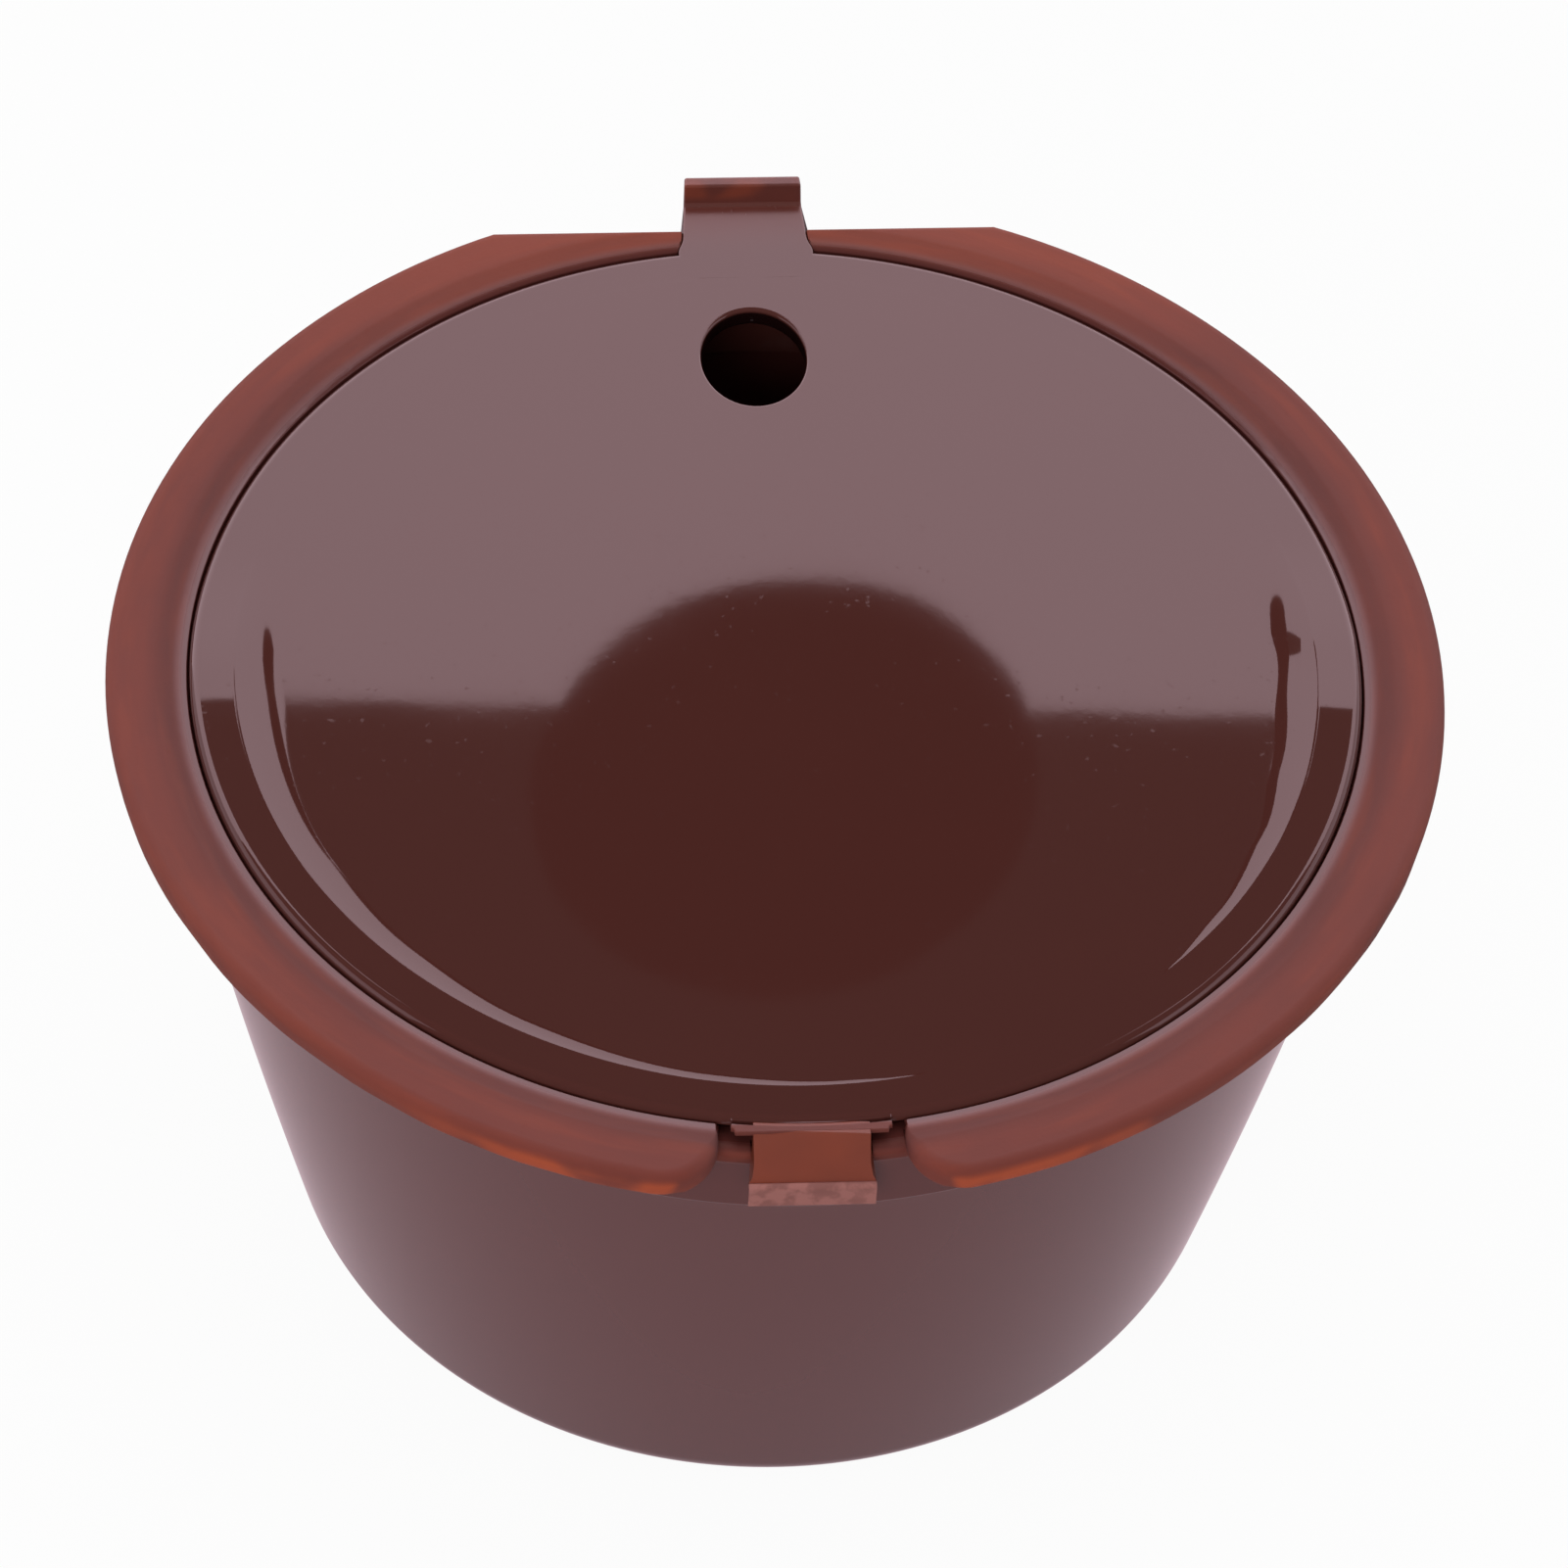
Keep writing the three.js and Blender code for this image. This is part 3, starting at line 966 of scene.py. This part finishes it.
@dataclass
class DishedLid:
    """The snap-in lid: dish, rounded rim, needle hole, lipped pull tab, landing and plug skirt."""

    at: PodPlaces
    rim_edge: float = 0.42 * MM
    rim_end: float = 22.0
    lift: float = 0.07 * MM
    crease: float = 21.85 * MM
    shoulder_width: float = 2.0 * MM
    shoulder_rise: float = 0.21 * MM
    floor: float = 0.9 * MM
    plug_radius: float = 22.75 * MM
    plug_wall: float = 1.1 * MM
    hole_half_width: float = 2.2 * MM
    hole_half_length: float = 2.75 * MM
    hole_inset: float = 6.4 * MM
    hole_round: float = 0.14 * MM
    plan: TabPlan = TabPlan()
    tab_thickness: float = 0.7 * MM
    lip_height: float = 0.7 * MM
    lip_depth: float = 1.0 * MM
    landing_half: float = 2.35 * MM
    landing_reach: float = 0.5 * MM
    landing_drop: float = 0.08 * MM
    landing_thickness: float = 0.25 * MM
    wing: float = 0.20 * MM
    groove_gap: float = 0.17 * MM
    groove_depth: float = 0.18 * MM
    spare: float = 2.0 * MM

    # Degrees from +X, and how much of the shoulder is left there
    SETTLED: ClassVar[tuple[Point, ...]] = (
        (-180, 0.985), (-175, 1.0), (-150, 0.70), (-135, 0.52), (-120, 0.36), (-100, 0.20),
        (-86, 0.11), (-78, 0.0), (-50, 0.0), (-40, 0.25), (-28, 0.55), (-18, 0.85), (-8, 1.0),
        (0, 0.92), (17, 0.0), (163, 0.0), (180, 0.985),
    )

    @property
    def top(self) -> float:
        """The rim's height where it is highest."""
        return self.at.height + self.lift

    @property
    def dish(self) -> float:
        """The height of the dish's floor."""
        return self.top - self.shoulder_rise

    @property
    def tab_top(self) -> float:
        """The height of the tab's flat, level with the rim behind."""
        return self.top - (1 - self.share_at(math.pi / 2)) * self.shoulder_rise

    @property
    def hole_middle(self) -> float:
        """The needle hole's middle, behind the lid's."""
        return self.at.lid_radius - self.hole_inset

    def share_at(self, angle: float) -> float:
        """How much of the shoulder is left at an angle: the moulding has sunk unevenly.

        Args:
            angle: the angle about the axis, in radians from +X.

        Returns:
            1 where the shoulder is full and 0 where it has gone.
        """
        degrees = math.degrees(angle)
        for (start, low), (end, high) in zip(self.SETTLED, self.SETTLED[1:]):
            if start <= degrees <= end:
                return low + (high - low) * eased(degrees, start, end)
        return 1.0

    def body(self) -> bpy.types.Object:
        """The turned lid without its tab, landing and hole."""
        top = self.top
        radius = self.at.rim_radius
        under = self.dish - self.floor
        inner = self.plug_radius - self.plug_wall
        snap, seat = self.at.snap, self.at.seat
        edge = self.rim_edge
        rim = (radius - edge * math.cos(math.radians(self.rim_end)), top - edge)
        foot = self.crease - self.shoulder_width
        shoulder = [
            (foot + s * self.shoulder_width, self.dish + self.shoulder_rise * s * s)
            for s in spaced(1.0, 0.0, 14)
        ]
        profile = [
            (0.0, under),
            *arc((inner - 0.3 * MM, under - 0.3 * MM), 0.3 * MM, 90, 0, 4),
            (inner, self.at.plug_bottom + 0.1 * MM),
            (inner + 0.1 * MM, self.at.plug_bottom),
            (self.plug_radius - 0.35 * MM, self.at.plug_bottom),
            (self.plug_radius, self.at.plug_bottom + 0.35 * MM),
            (self.plug_radius, snap - 0.45 * MM),
            *arc((self.plug_radius - 0.3 * MM, snap), 0.45 * MM, -40, 40, 6),
            (self.plug_radius, snap + 0.45 * MM),
            (self.plug_radius, seat),
            (radius - 0.35 * MM, seat),
            (radius, seat + 0.35 * MM),
            *arc(rim, edge, self.rim_end, 90, 12),
            (self.crease + 0.12 * MM, top),
            (self.crease + 0.04 * MM, top - 0.004 * MM),
            *shoulder,
            (0.0, self.dish),
        ]
        made = spun("lid_shell", profile)
        self.settle(made)
        return made

    def settle(self, made: bpy.types.Object) -> None:
        """Gives the shoulder its uneven height and width round the lid: behind, it fades out.

        Args:
            made: the turned lid.
        """
        foot = self.crease - self.shoulder_width
        for vertex in made.data.vertices:
            x, y, z = vertex.co
            radius = math.hypot(x, y)
            if z < self.top - self.rim_edge - 0.01 * MM or radius < foot - 0.01 * MM:
                continue
            left = self.share_at(math.atan2(y, x))
            if radius > self.crease + 0.01 * MM:
                vertex.co.z -= self.shoulder_rise * (1 - left)
                continue
            share = (radius - foot) / self.shoulder_width
            width = max(self.shoulder_width * left, 0.1 * MM)
            width += (self.shoulder_width - width) * eased(y / radius, 0.0, 0.05)
            placed = self.crease - (1 - share) * width
            vertex.co.x, vertex.co.y = x * placed / radius, y * placed / radius
            vertex.co.z = self.dish + self.shoulder_rise * left * share**2

    def tab(self) -> bpy.types.Object:
        """The pull tab: a tapered tongue that ends in a lip turned up for a fingernail."""
        top = self.tab_top
        end = self.at.tab_end
        crease = end - self.lip_depth
        lid = self.at.lid_radius
        root = self.plug_radius - 0.9 * MM
        low = top - self.tab_thickness
        lip = self.at.height + self.lip_height - 0.005 * MM
        stops = [lid - 0.5 * MM + 0.1 * MM * i for i in range(14)]
        side = [
            (root, low),
            *[(y, low) for y in stops],
            *arc((end - 0.5 * MM, low + 0.5 * MM), 0.5 * MM, -90, 0, 5),
            *arc((end - 0.16 * MM, lip - 0.16 * MM), 0.16 * MM, 0, 90, 4),
            *arc((crease + 0.52 * MM, lip - 0.18 * MM), 0.18 * MM, 90, 145, 4),
            (crease + 0.14 * MM, top + 0.14 * self.lip_height),
            (crease + 0.02 * MM, top + 0.01 * MM),
            (crease - 0.12 * MM, top),
            *[(y, top) for y in reversed(stops)],
            (root, top),
        ]
        half = self.plan.root / 2
        outline = [Vector((-half, y, z)) for y, z in side]
        made = drawn_out("tab", outline, Vector((2 * half, 0, 0)), 0.10 * MM, 3)
        for vertex in made.data.vertices:
            vertex.co.x *= self.plan.half_width(vertex.co.y - lid, end - lid) / half
        return made

    def landing(self) -> bpy.types.Object:
        """The landing that the hinge strap leaves from, with a narrow wing on each side."""
        half = self.at.notch_width / 2 - 0.5 * MM
        sunk = self.shoulder_rise * (1 - self.share_at(-math.pi / 2))
        top = self.top - sunk - self.landing_drop
        edge = -(self.at.lid_radius + self.landing_reach - 0.06 * MM)
        wing = self.at.rim_radius + self.groove_gap + self.wing
        inner = -(self.plug_radius - 0.6 * MM)
        web = 0.6 * MM
        corner = (self.landing_half + web, -wing - web)
        right = [
            (half, inner),
            (half, -math.sqrt(wing**2 - half**2)),
            *[(x, -math.sqrt(wing**2 - x**2)) for x in spaced(half, corner[0], 3)[1:-1]],
            *[p for p in arc(corner, web, 90, 180, 6) if p[1] > edge],
            (self.landing_half, edge),
        ]
        outline = mirrored(right, top - self.landing_thickness)
        made = drawn_out("landing", outline, UP * self.landing_thickness, 0.09 * MM, 3)
        lid = self.at.rim_radius - 0.02 * MM
        groove = [
            (lid, top - self.groove_depth),
            (lid + self.groove_gap, top - self.groove_depth),
            (lid + self.groove_gap, top + self.spare),
            (lid, top + self.spare),
        ]
        return combine(made, spun("groove", groove), Join.CUT)

    def hole(self) -> bpy.types.Object:
        """A cutter for the oval needle hole that leaves rounded edges."""
        small = self.hole_round
        under = self.dish - self.floor
        wide = self.hole_half_width + small
        profile = [
            (0.0, under - self.spare),
            (wide, under - self.spare),
            *arc((wide, under + small), small, 270, 180, 4),
            *arc((wide, self.dish - small), small, 180, 90, 6),
            (wide, self.dish + self.spare),
            (0.0, self.dish + self.spare),
        ]
        made = spun("hole", profile, COARSE_STEPS)
        stretch = Matrix.Diagonal((1, self.hole_half_length / self.hole_half_width, 1, 1))
        made.data.transform(Matrix.Translation((0, self.hole_middle, 0)) @ stretch)
        return made

    def build(self) -> bpy.types.Object:
        """Builds and dresses the lid.

        Returns:
            The finished piece, riding on the lid's body.
        """
        shell = self.body()
        half = self.at.notch_width / 2
        under_landing = self.dish - self.landing_drop - self.landing_thickness
        low = (-half, -(self.at.lid_radius + self.spare), self.at.seat - self.spare)
        high = (half, -(self.plug_radius + 0.15 * MM), under_landing)
        combine(shell, block("undercut", low, high), Join.CUT)
        combine(shell, self.tab(), Join.ADD)
        combine(shell, self.landing(), Join.ADD)
        combine(shell, self.hole(), Join.CUT)
        level(polish(shell, 0.0, 32))
        dress(shell, self.finish())
        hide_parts("lid")
        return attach(shell, "lid")

    def finish(self) -> bpy.types.Material:
        """The lid's plastic: deep and glossy, warmer in the tab and the landing, with painted shade
        on the needle hole's wall.
        """
        lid = self.at.lid_radius

        def on_tab(shader: Shader) -> Socket:
            """Rises from 0 at the rim to 1 along the tab."""
            return shader.coordinate("Y").step(lid - 0.6 * MM, self.at.tab_end)

        def on_landing(shader: Shader) -> Socket:
            """1 on the landing in front of the rim."""
            return (-shader.coordinate("Y")).step(lid - 0.02 * MM, lid + 0.12 * MM)

        def thinness(shader: Shader) -> Socket:
            """How much of the thin colour shows."""
            return on_tab(shader) * 0.3 + on_landing(shader) * 0.6

        def dullness(shader: Shader) -> Socket:
            """How satin the finish is."""
            return on_tab(shader) * 0.35 + on_landing(shader) * 0.8

        def lit_through(shader: Shader) -> Socket:
            """A little on the lip of the tab."""
            lip = shader.coordinate("Z").step(self.tab_top + 0.1 * MM, self.tab_top + 0.5 * MM)
            patch = shader.grain(500.0, 2.0).step(0.4, 0.65)
            return lip * patch * 0.25 * on_tab(shader)

        def shaded(shader: Shader) -> Socket:
            """1 on the needle hole's wall: painted shade in place of the shadow inside the hole."""
            side, back = shader.coordinate("X"), shader.coordinate("Y") - self.hole_middle
            near = (side * side + back * back).step((3.6 * MM) ** 2, (3.0 * MM) ** 2)
            # Painted shade: near the hole and below the dish's level, where the hole's inside is in
            # shadow.
            return near * shader.coordinate("Z").step(self.dish - 0.10 * MM, self.dish - 0.22 * MM)

        return BrownPlastic("lid_plastic").made(thinness, dullness, lit_through, shaded)


@dataclass
class HingeStrap:
    """The living hinge: a strap from the lid's landing, down, round a fold and to the collar."""

    at: PodPlaces
    panel_width: float = 4.5 * MM
    fold_width: float = 4.92 * MM
    thickness: float = 0.44 * MM
    fold_height: float = 1.22 * MM
    fold_drop: float = 2.2 * MM
    landing_reach: float = 0.46 * MM
    landing_drop: float = 0.20 * MM
    skew: float = 0.16 * MM
    collar_radius: float = 24.0 * MM
    edge: float = 0.17 * MM

    @property
    def middle(self) -> float:
        """The fold's height."""
        return self.at.height - self.fold_drop

    def outline(self) -> list[Point]:
        """The strap seen from the side, as (y, z) points."""
        front = self.at.fold_front
        top = self.middle + self.fold_height / 2
        bottom = self.middle - self.fold_height / 2
        start_y = -(self.at.lid_radius + self.landing_reach)
        start_z = self.at.height - self.landing_drop
        nose = 0.22 * MM
        ledge = front + 0.30 * MM
        slope = math.atan2(start_z - top, start_y - ledge)
        shift_y = self.thickness * math.sin(slope)
        shift_z = self.thickness * math.cos(slope)
        inside = 0.12 * MM
        leaf = bottom + self.thickness
        run, fall = ledge - start_y, top - start_z
        return [
            (start_y + 0.6 * MM, start_z - 0.03 * MM),
            (start_y, start_z),
            *[(start_y + run * s, start_z + fall * s) for s in (0.04, 0.35, 0.65, 0.9)],
            (ledge, top - 0.03 * MM),
            *arc((front + nose, top - nose + 0.02 * MM), nose, 90, 180, 5),
            *[(front, top + (bottom - top) * s) for s in (0.35, 0.5, 0.65)],
            *arc((front + nose, bottom + nose), nose, 180, 270, 5),
            (-self.collar_radius, bottom - 0.1 * MM),
            (-self.collar_radius, leaf),
            (front + 2.6 * nose, leaf),
            *arc((front + 2.6 * nose, leaf + inside), inside, 270, 90, 4),
            (ledge + shift_y * 1.2, leaf + 2 * inside),
            (start_y + shift_y, start_z - shift_z),
            (start_y + 0.6 * MM, start_z - shift_z),
        ]

    def build(self) -> bpy.types.Object:
        """Builds and dresses the strap.

        Returns:
            The finished piece, bent between the cup and the lid.
        """
        half = self.panel_width / 2
        outline = [Vector((-half, y, z)) for y, z in self.outline()]
        strap = drawn_out("hinge_strap", outline, Vector((self.panel_width, 0, 0)), self.edge, 3)
        front = self.at.fold_front
        wider = self.fold_width / self.panel_width - 1
        high = self.at.height - self.landing_drop - 0.3 * MM
        for vertex in strap.data.vertices:
            at_fold = 1 - eased(vertex.co.y, front + 0.30 * MM, front + 0.55 * MM)
            vertex.co.x *= 1 + wider * at_fold
            vertex.co.y += noise.noise(vertex.co * (1.3 / MM)) * 0.04 * MM * at_fold
            if vertex.co.z > high:
                vertex.co.y -= self.skew * vertex.co.x / half
        polish(strap, 0.0, 40)
        dress(strap, self.finish())
        start = (0, front, self.middle - 0.4 * MM)
        end = (0, front, self.middle + 0.4 * MM)
        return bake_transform(strap)

    def finish(self) -> bpy.types.Material:
        """The strap's plastic: satin and scuffed at the fold, lit through on the panel."""
        front = -self.at.fold_front

        def at_fold(shader: Shader) -> Socket:
            """1 on the fold and 0 on the panel."""
            return (-shader.coordinate("Y")).step(front - 0.32 * MM, front - 0.18 * MM)

        def thinness(shader: Shader) -> Socket:
            """Pale and scuffed at the fold."""
            scuffs = shader.grain(1400.0, 3.0).step(0.38, 0.62)
            return at_fold(shader) * (scuffs * 0.5 + 0.55) + 0.15

        def dullness(shader: Shader) -> Socket:
            """Satin at the fold, glossier on the sloping panel."""
            return at_fold(shader) * 0.8 + 0.2

        def lit_through(shader: Shader) -> Socket:
            """The panel glows orange, less in its middle."""
            return (1.0 - at_fold(shader)) * (shader.grain(350.0) * 0.3 + 0.16)

        plastic = BrownPlastic("strap_plastic", thin=(0.34, 0.130, 0.115))
        return plastic.made(thinness, dullness, lit_through)


@dataclass
class ClampRing:
    """The clamp ring over the edge of the filter screen."""

    at: PodPlaces
    width: float = 2.6 * MM
    top_shrink: float = 0.35 * MM

    def build(self) -> bpy.types.Object:
        """Builds and dresses the ring, riding on the cup's body."""
        low, high = self.at.ring_bottom, self.at.ring_top
        outer = self.at.ring_radius
        inner = outer - self.top_shrink - self.width
        small = 0.25 * MM
        profile = [
            (inner + small, low),
            (outer - self.top_shrink, low),
            *arc((outer - small, high - small), small, 10, 90, 4),
            *arc((inner + 2 * small, high - 2 * small), 2 * small, 90, 180, 6),
            *arc((inner + small, low + small), small, 180, 270, 3)[:-1],
        ]
        ring = spun("clamp_ring", profile)
        polish(ring, 0.0, 35)
        plastic = BrownPlastic("ring_plastic")
        dress(ring, plastic.made(evenly(0.2), evenly(0.3), evenly(0.05)))
        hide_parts("filter_ring")
        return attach(ring, "cup")


@dataclass
class WovenScreen:
    """The filter screen: fine wires woven over and under each other, in a pressed rim."""

    at: PodPlaces
    pitch: float = 0.78 * MM
    wire: float = 0.20 * MM
    rim_width: float = 0.9 * MM
    thickness: float = 0.4 * MM

    def wires(self, bm: bmesh.types.BMesh, across: bool) -> None:
        """Adds the wires that run one way.

        Args:
            bm: the mesh that they are added to.
            across: whether they run along X.
        """
        reach = self.at.screen_radius - self.rim_width
        count = int(reach / self.pitch)
        middle = self.at.screen_bottom + self.thickness / 2
        swing = 0.45 * self.wire if across else -0.45 * self.wire
        corners = arc((0.0, 0.0), self.wire / 2, 45, 315, 3)
        for i in range(-count, count + 1):
            side = i * self.pitch
            half = math.sqrt(max(reach**2 - side**2, 0.0)) + 0.3 * self.rim_width
            steps = int(half / self.pitch)
            path = [
                (k * self.pitch, middle + swing * (1 - 2 * ((i + k) % 2)))
                for k in range(-steps, steps + 1)
            ]
            rings = []
            for along, height in [(-half, middle), *path, (half, middle)]:
                spots = [(side + u, height + w) for u, w in corners]
                places = [(along, u, w) if across else (u, along, w) for u, w in spots]
                rings.append([bm.verts.new(place) for place in places])
            for first, second in zip(rings, rings[1:]):
                for c in range(4):
                    d = (c + 1) % 4
                    bm.faces.new((first[c], first[d], second[d], second[c]))
            bm.faces.new(rings[0])
            bm.faces.new(list(reversed(rings[-1])))

    def build(self) -> bpy.types.Object:
        """Builds and dresses the screen, riding on the cup's body."""
        bm = bmesh.new()
        self.wires(bm, across=True)
        self.wires(bm, across=False)
        weave = finished("weave", bm)
        low = self.at.screen_bottom
        outer = self.at.screen_radius
        inner = outer - self.rim_width
        small = 0.1 * MM
        profile = [
            *arc((inner + small, low + small), small, 180, 270, 3),
            *arc((outer - small, low + small), small, 270, 360, 3),
            *arc((outer - small, low + self.thickness - small), small, 0, 90, 3),
            *arc((inner + small, low + self.thickness - small), small, 90, 180, 3),
        ]
        screen = spun("wire_screen", profile, COARSE_STEPS)
        bm = bmesh.new()
        bm.from_mesh(screen.data)
        bm.from_mesh(weave.data)
        bm.to_mesh(screen.data)
        bm.free()
        bpy.data.meshes.remove(weave.data)
        screen.data.shade_smooth()
        screen.data.set_sharp_from_angle(angle=math.radians(50))
        dress(screen, WovenSteel().made())
        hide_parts("filter_screen")
        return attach(screen, "cup")


# Studio


@dataclass(frozen=True)
class PhotoCamera:
    """The camera that the flange's and the lid's outlines in the photograph give."""

    azimuth: float = -5.60
    elevation: float = 48.97
    roll: float = 3.10
    distance: float = 0.300
    aim_across: float = 0.55 * MM
    aim_up: float = -4.58 * MM
    focal_pixels: float = 7587.6
    frame_pixels: float = 1601.0
    sensor: float = 36.0
    centre_height: float = 28.2 * MM

    def build(self) -> bpy.types.Object:
        """Makes the scene's camera."""
        azimuth, elevation, roll = map(math.radians, (self.azimuth, self.elevation, self.roll))
        level = math.cos(elevation)
        back = Vector((math.sin(azimuth) * level, -math.cos(azimuth) * level, math.sin(elevation)))
        right = Vector((math.cos(azimuth), math.sin(azimuth), 0))
        up = back.cross(right)
        across = right * math.cos(roll) + up * math.sin(roll)
        upward = up * math.cos(roll) - right * math.sin(roll)
        aim = UP * self.centre_height + right * self.aim_across + up * self.aim_up
        data = bpy.data.cameras.new("photo_camera")
        data.sensor_width = self.sensor
        data.lens = self.sensor * self.focal_pixels / self.frame_pixels
        data.clip_start, data.clip_end = 0.01, 20.0
        camera = bpy.data.objects.new("photo_camera", data)
        turn = Matrix((across, upward, back)).transposed().to_4x4()
        camera.matrix_world = Matrix.Translation(aim + back * self.distance) @ turn
        bpy.context.scene.collection.objects.link(camera)
        bpy.context.scene.camera = camera
        return camera


@dataclass
class Studio:
    """A white table, soft lamps, and the pale cards that the gloss reflects."""

    card_distance: float = 0.620
    card_half_width: float = 1.1
    card_top: float = 0.729
    card_top_slope: float = 0.059
    card_raised: float = 1.15
    card_glow: float = 3.2
    side_distance: float = 0.68
    side_height: float = 0.62
    left_glow: float = 1.4
    right_glow: float = 1.6
    side_front: float = -0.35
    card_dip: Sequence[float] = (0.25, 0.17, -0.05, -0.13)
    shade_middle: Point = (0.0609, 0.7456)
    shade_half: Point = (0.0428, 0.0537)
    shade_gap: float = 0.008
    floor_half: float = 3.0
    floor_drop: float = 0.1 * MM
    floor_seen: float = 0.95
    floor_mirrored: float = 0.64
    lamp_power: float = 3.6
    front_power: float = 3.6
    fill: float = 0.36
    overhead: float = 0.10
    blush: Colour = (1.0, 0.76, 0.84)

    def panel(
        self, name: str, corners: Sequence[Vector], material: bpy.types.Material
    ) -> bpy.types.Object:
        """A flat piece of the stage.

        Args:
            name: its name.
            corners: its corners, in order.
            material: its material.

        Returns:
            The panel, marked as stage.
        """
        bm = bmesh.new()
        bm.faces.new([bm.verts.new(c) for c in corners])
        mesh = bpy.data.meshes.new(name)
        bm.to_mesh(mesh)
        bm.free()
        mesh.materials.append(material)
        made = bpy.data.objects.new(name, mesh)
        bpy.context.scene.collection.objects.link(made)
        return made

    def card(self, name: str, corners: Sequence[Vector], material: bpy.types.Material) -> None:
        """Makes a panel that only reflections see.

        Args:
            name: its name.
            corners: its corners, in order.
            material: its material.
        """
        made = self.panel(name, corners, material)
        made.visible_camera = False
        made.visible_diffuse = False
        made.visible_shadow = False

    def pale(self, name: str, glow: float) -> bpy.types.Material:
        """A glowing material."""
        shader = Shader.named(name)
        return shader.close(shader.glow(glow, self.blush))

    def cards(self) -> None:
        """The pale card behind, one at each side, and the dark round shade in front of it."""
        far, half, raised = self.card_distance, self.card_half_width, self.card_raised
        right, dip_right, dip_left, left = self.card_dip
        edge = [(-half, -1 * MM), (half, -1 * MM), (half, raised), (right, raised)]
        edge += [(x, self.card_top + self.card_top_slope * x) for x in (dip_right, dip_left)]
        edge += [(left, raised), (-half, raised)]
        back = [Vector((x, far, z)) for x, z in edge]
        self.card("back_card", back, self.pale("back_card", self.card_glow))
        front, high = self.side_front, self.side_height
        for name, x, glow in (
            ("left_card", -self.side_distance, self.left_glow),
            ("right_card", self.side_distance, self.right_glow),
        ):
            ends = ((far, 0.0), (front, 0.0), (front, high), (far, high))
            self.card(name, [Vector((x, y, z)) for y, z in ends], self.pale(name, glow))
        (mid_x, mid_z), (wide, tall) = self.shade_middle, self.shade_half
        rim = [
            Vector((mid_x + wide * x, far - self.shade_gap, mid_z + tall * z))
            for x, z in arc((0.0, 0.0), 1.0, 0, 355, 71)
        ]
        dark = Shader.named("round_shade").surface(Base_Color=(0.0, 0.0, 0.0, 1.0), Roughness=1.0)
        self.card("round_shade", rim, dark)

    def floor(self) -> None:
        """The white table, which keeps the pod's soft shadow."""
        half = self.floor_half
        shader = Shader.named("table_white")
        glossy = shader.ray("Glossy")
        seen = (shader.ray("Camera") + glossy + shader.ray("Transmission")).clamped()
        paint = shader.out("ShaderNodeBsdfDiffuse", {}, {"Color": (0.8, 0.8, 0.8, 1.0)})
        mirrored_glow = shader.glow(self.floor_mirrored, self.blush)
        white = shader.blend(glossy, shader.glow(1.0), mirrored_glow)
        table = shader.close(shader.blend(seen * self.floor_seen, paint, white))
        ends = ((-half, -half), (half, -half), (half, half), (-half, half))
        self.panel("table", [Vector((x, y, -self.floor_drop)) for x, y in ends], table)

    def world(self) -> None:
        """White to the camera, soft fill for the matt parts, nearly dark above in reflections."""
        world = bpy.data.worlds.new("studio")
        bpy.context.scene.world = world
        shader = Shader(world)
        lit = shader.mix(shader.ray("Glossy"), (self.fill,) * 3, (self.overhead,) * 3)
        seen = (shader.ray("Camera") + shader.ray("Transmission")).clamped()
        colour = shader.mix(seen, lit, (1.0, 1.0, 1.0))
        shader.close(shader.out("ShaderNodeBackground", {}, {"Color": colour, "Strength": 1.0}))

    def lamp(self, name: str, place: Vector, size: float, power: float) -> None:
        """Makes a soft square lamp that aims at the pod and isn't mirrored in it.

        Args:
            name: its name.
            place: its middle.
            size: its side's length.
            power: its power in watts.
        """
        data = bpy.data.lights.new(name, "AREA")
        data.shape = "SQUARE"
        data.size = size
        data.energy = power
        made = bpy.data.objects.new(name, data)
        turn = place.to_track_quat("Z", "Y").to_matrix().to_4x4()
        made.matrix_world = Matrix.Translation(place) @ turn
        made.visible_glossy = False
        bpy.context.scene.collection.objects.link(made)

    def build(self) -> None:
        """Sets up the whole studio and the view settings."""
        bpy.context.scene.view_settings.view_transform = "Standard"
        self.floor()
        self.world()
        self.cards()
        self.lamp("overhead_lamp", Vector((0.0, 0.1, 0.9)), 0.9, self.lamp_power)
        self.lamp("front_lamp", Vector((-0.35, -0.8, 0.5)), 0.6, self.front_power)


def main() -> None:
    """Builds the studio and the pod."""
    logging.basicConfig(level=logging.INFO, format="%(name)s: %(message)s")
    PhotoCamera().build()
    Studio().build()
    at = PodPlaces.read()
    for maker in (CupShell(at), DishedLid(at), HingeStrap(at), ClampRing(at), WovenScreen(at)):
        piece = maker.build()
        log.info("%s: %d faces", piece.name, len(piece.data.polygons))


if __name__ == "__main__":
    main()
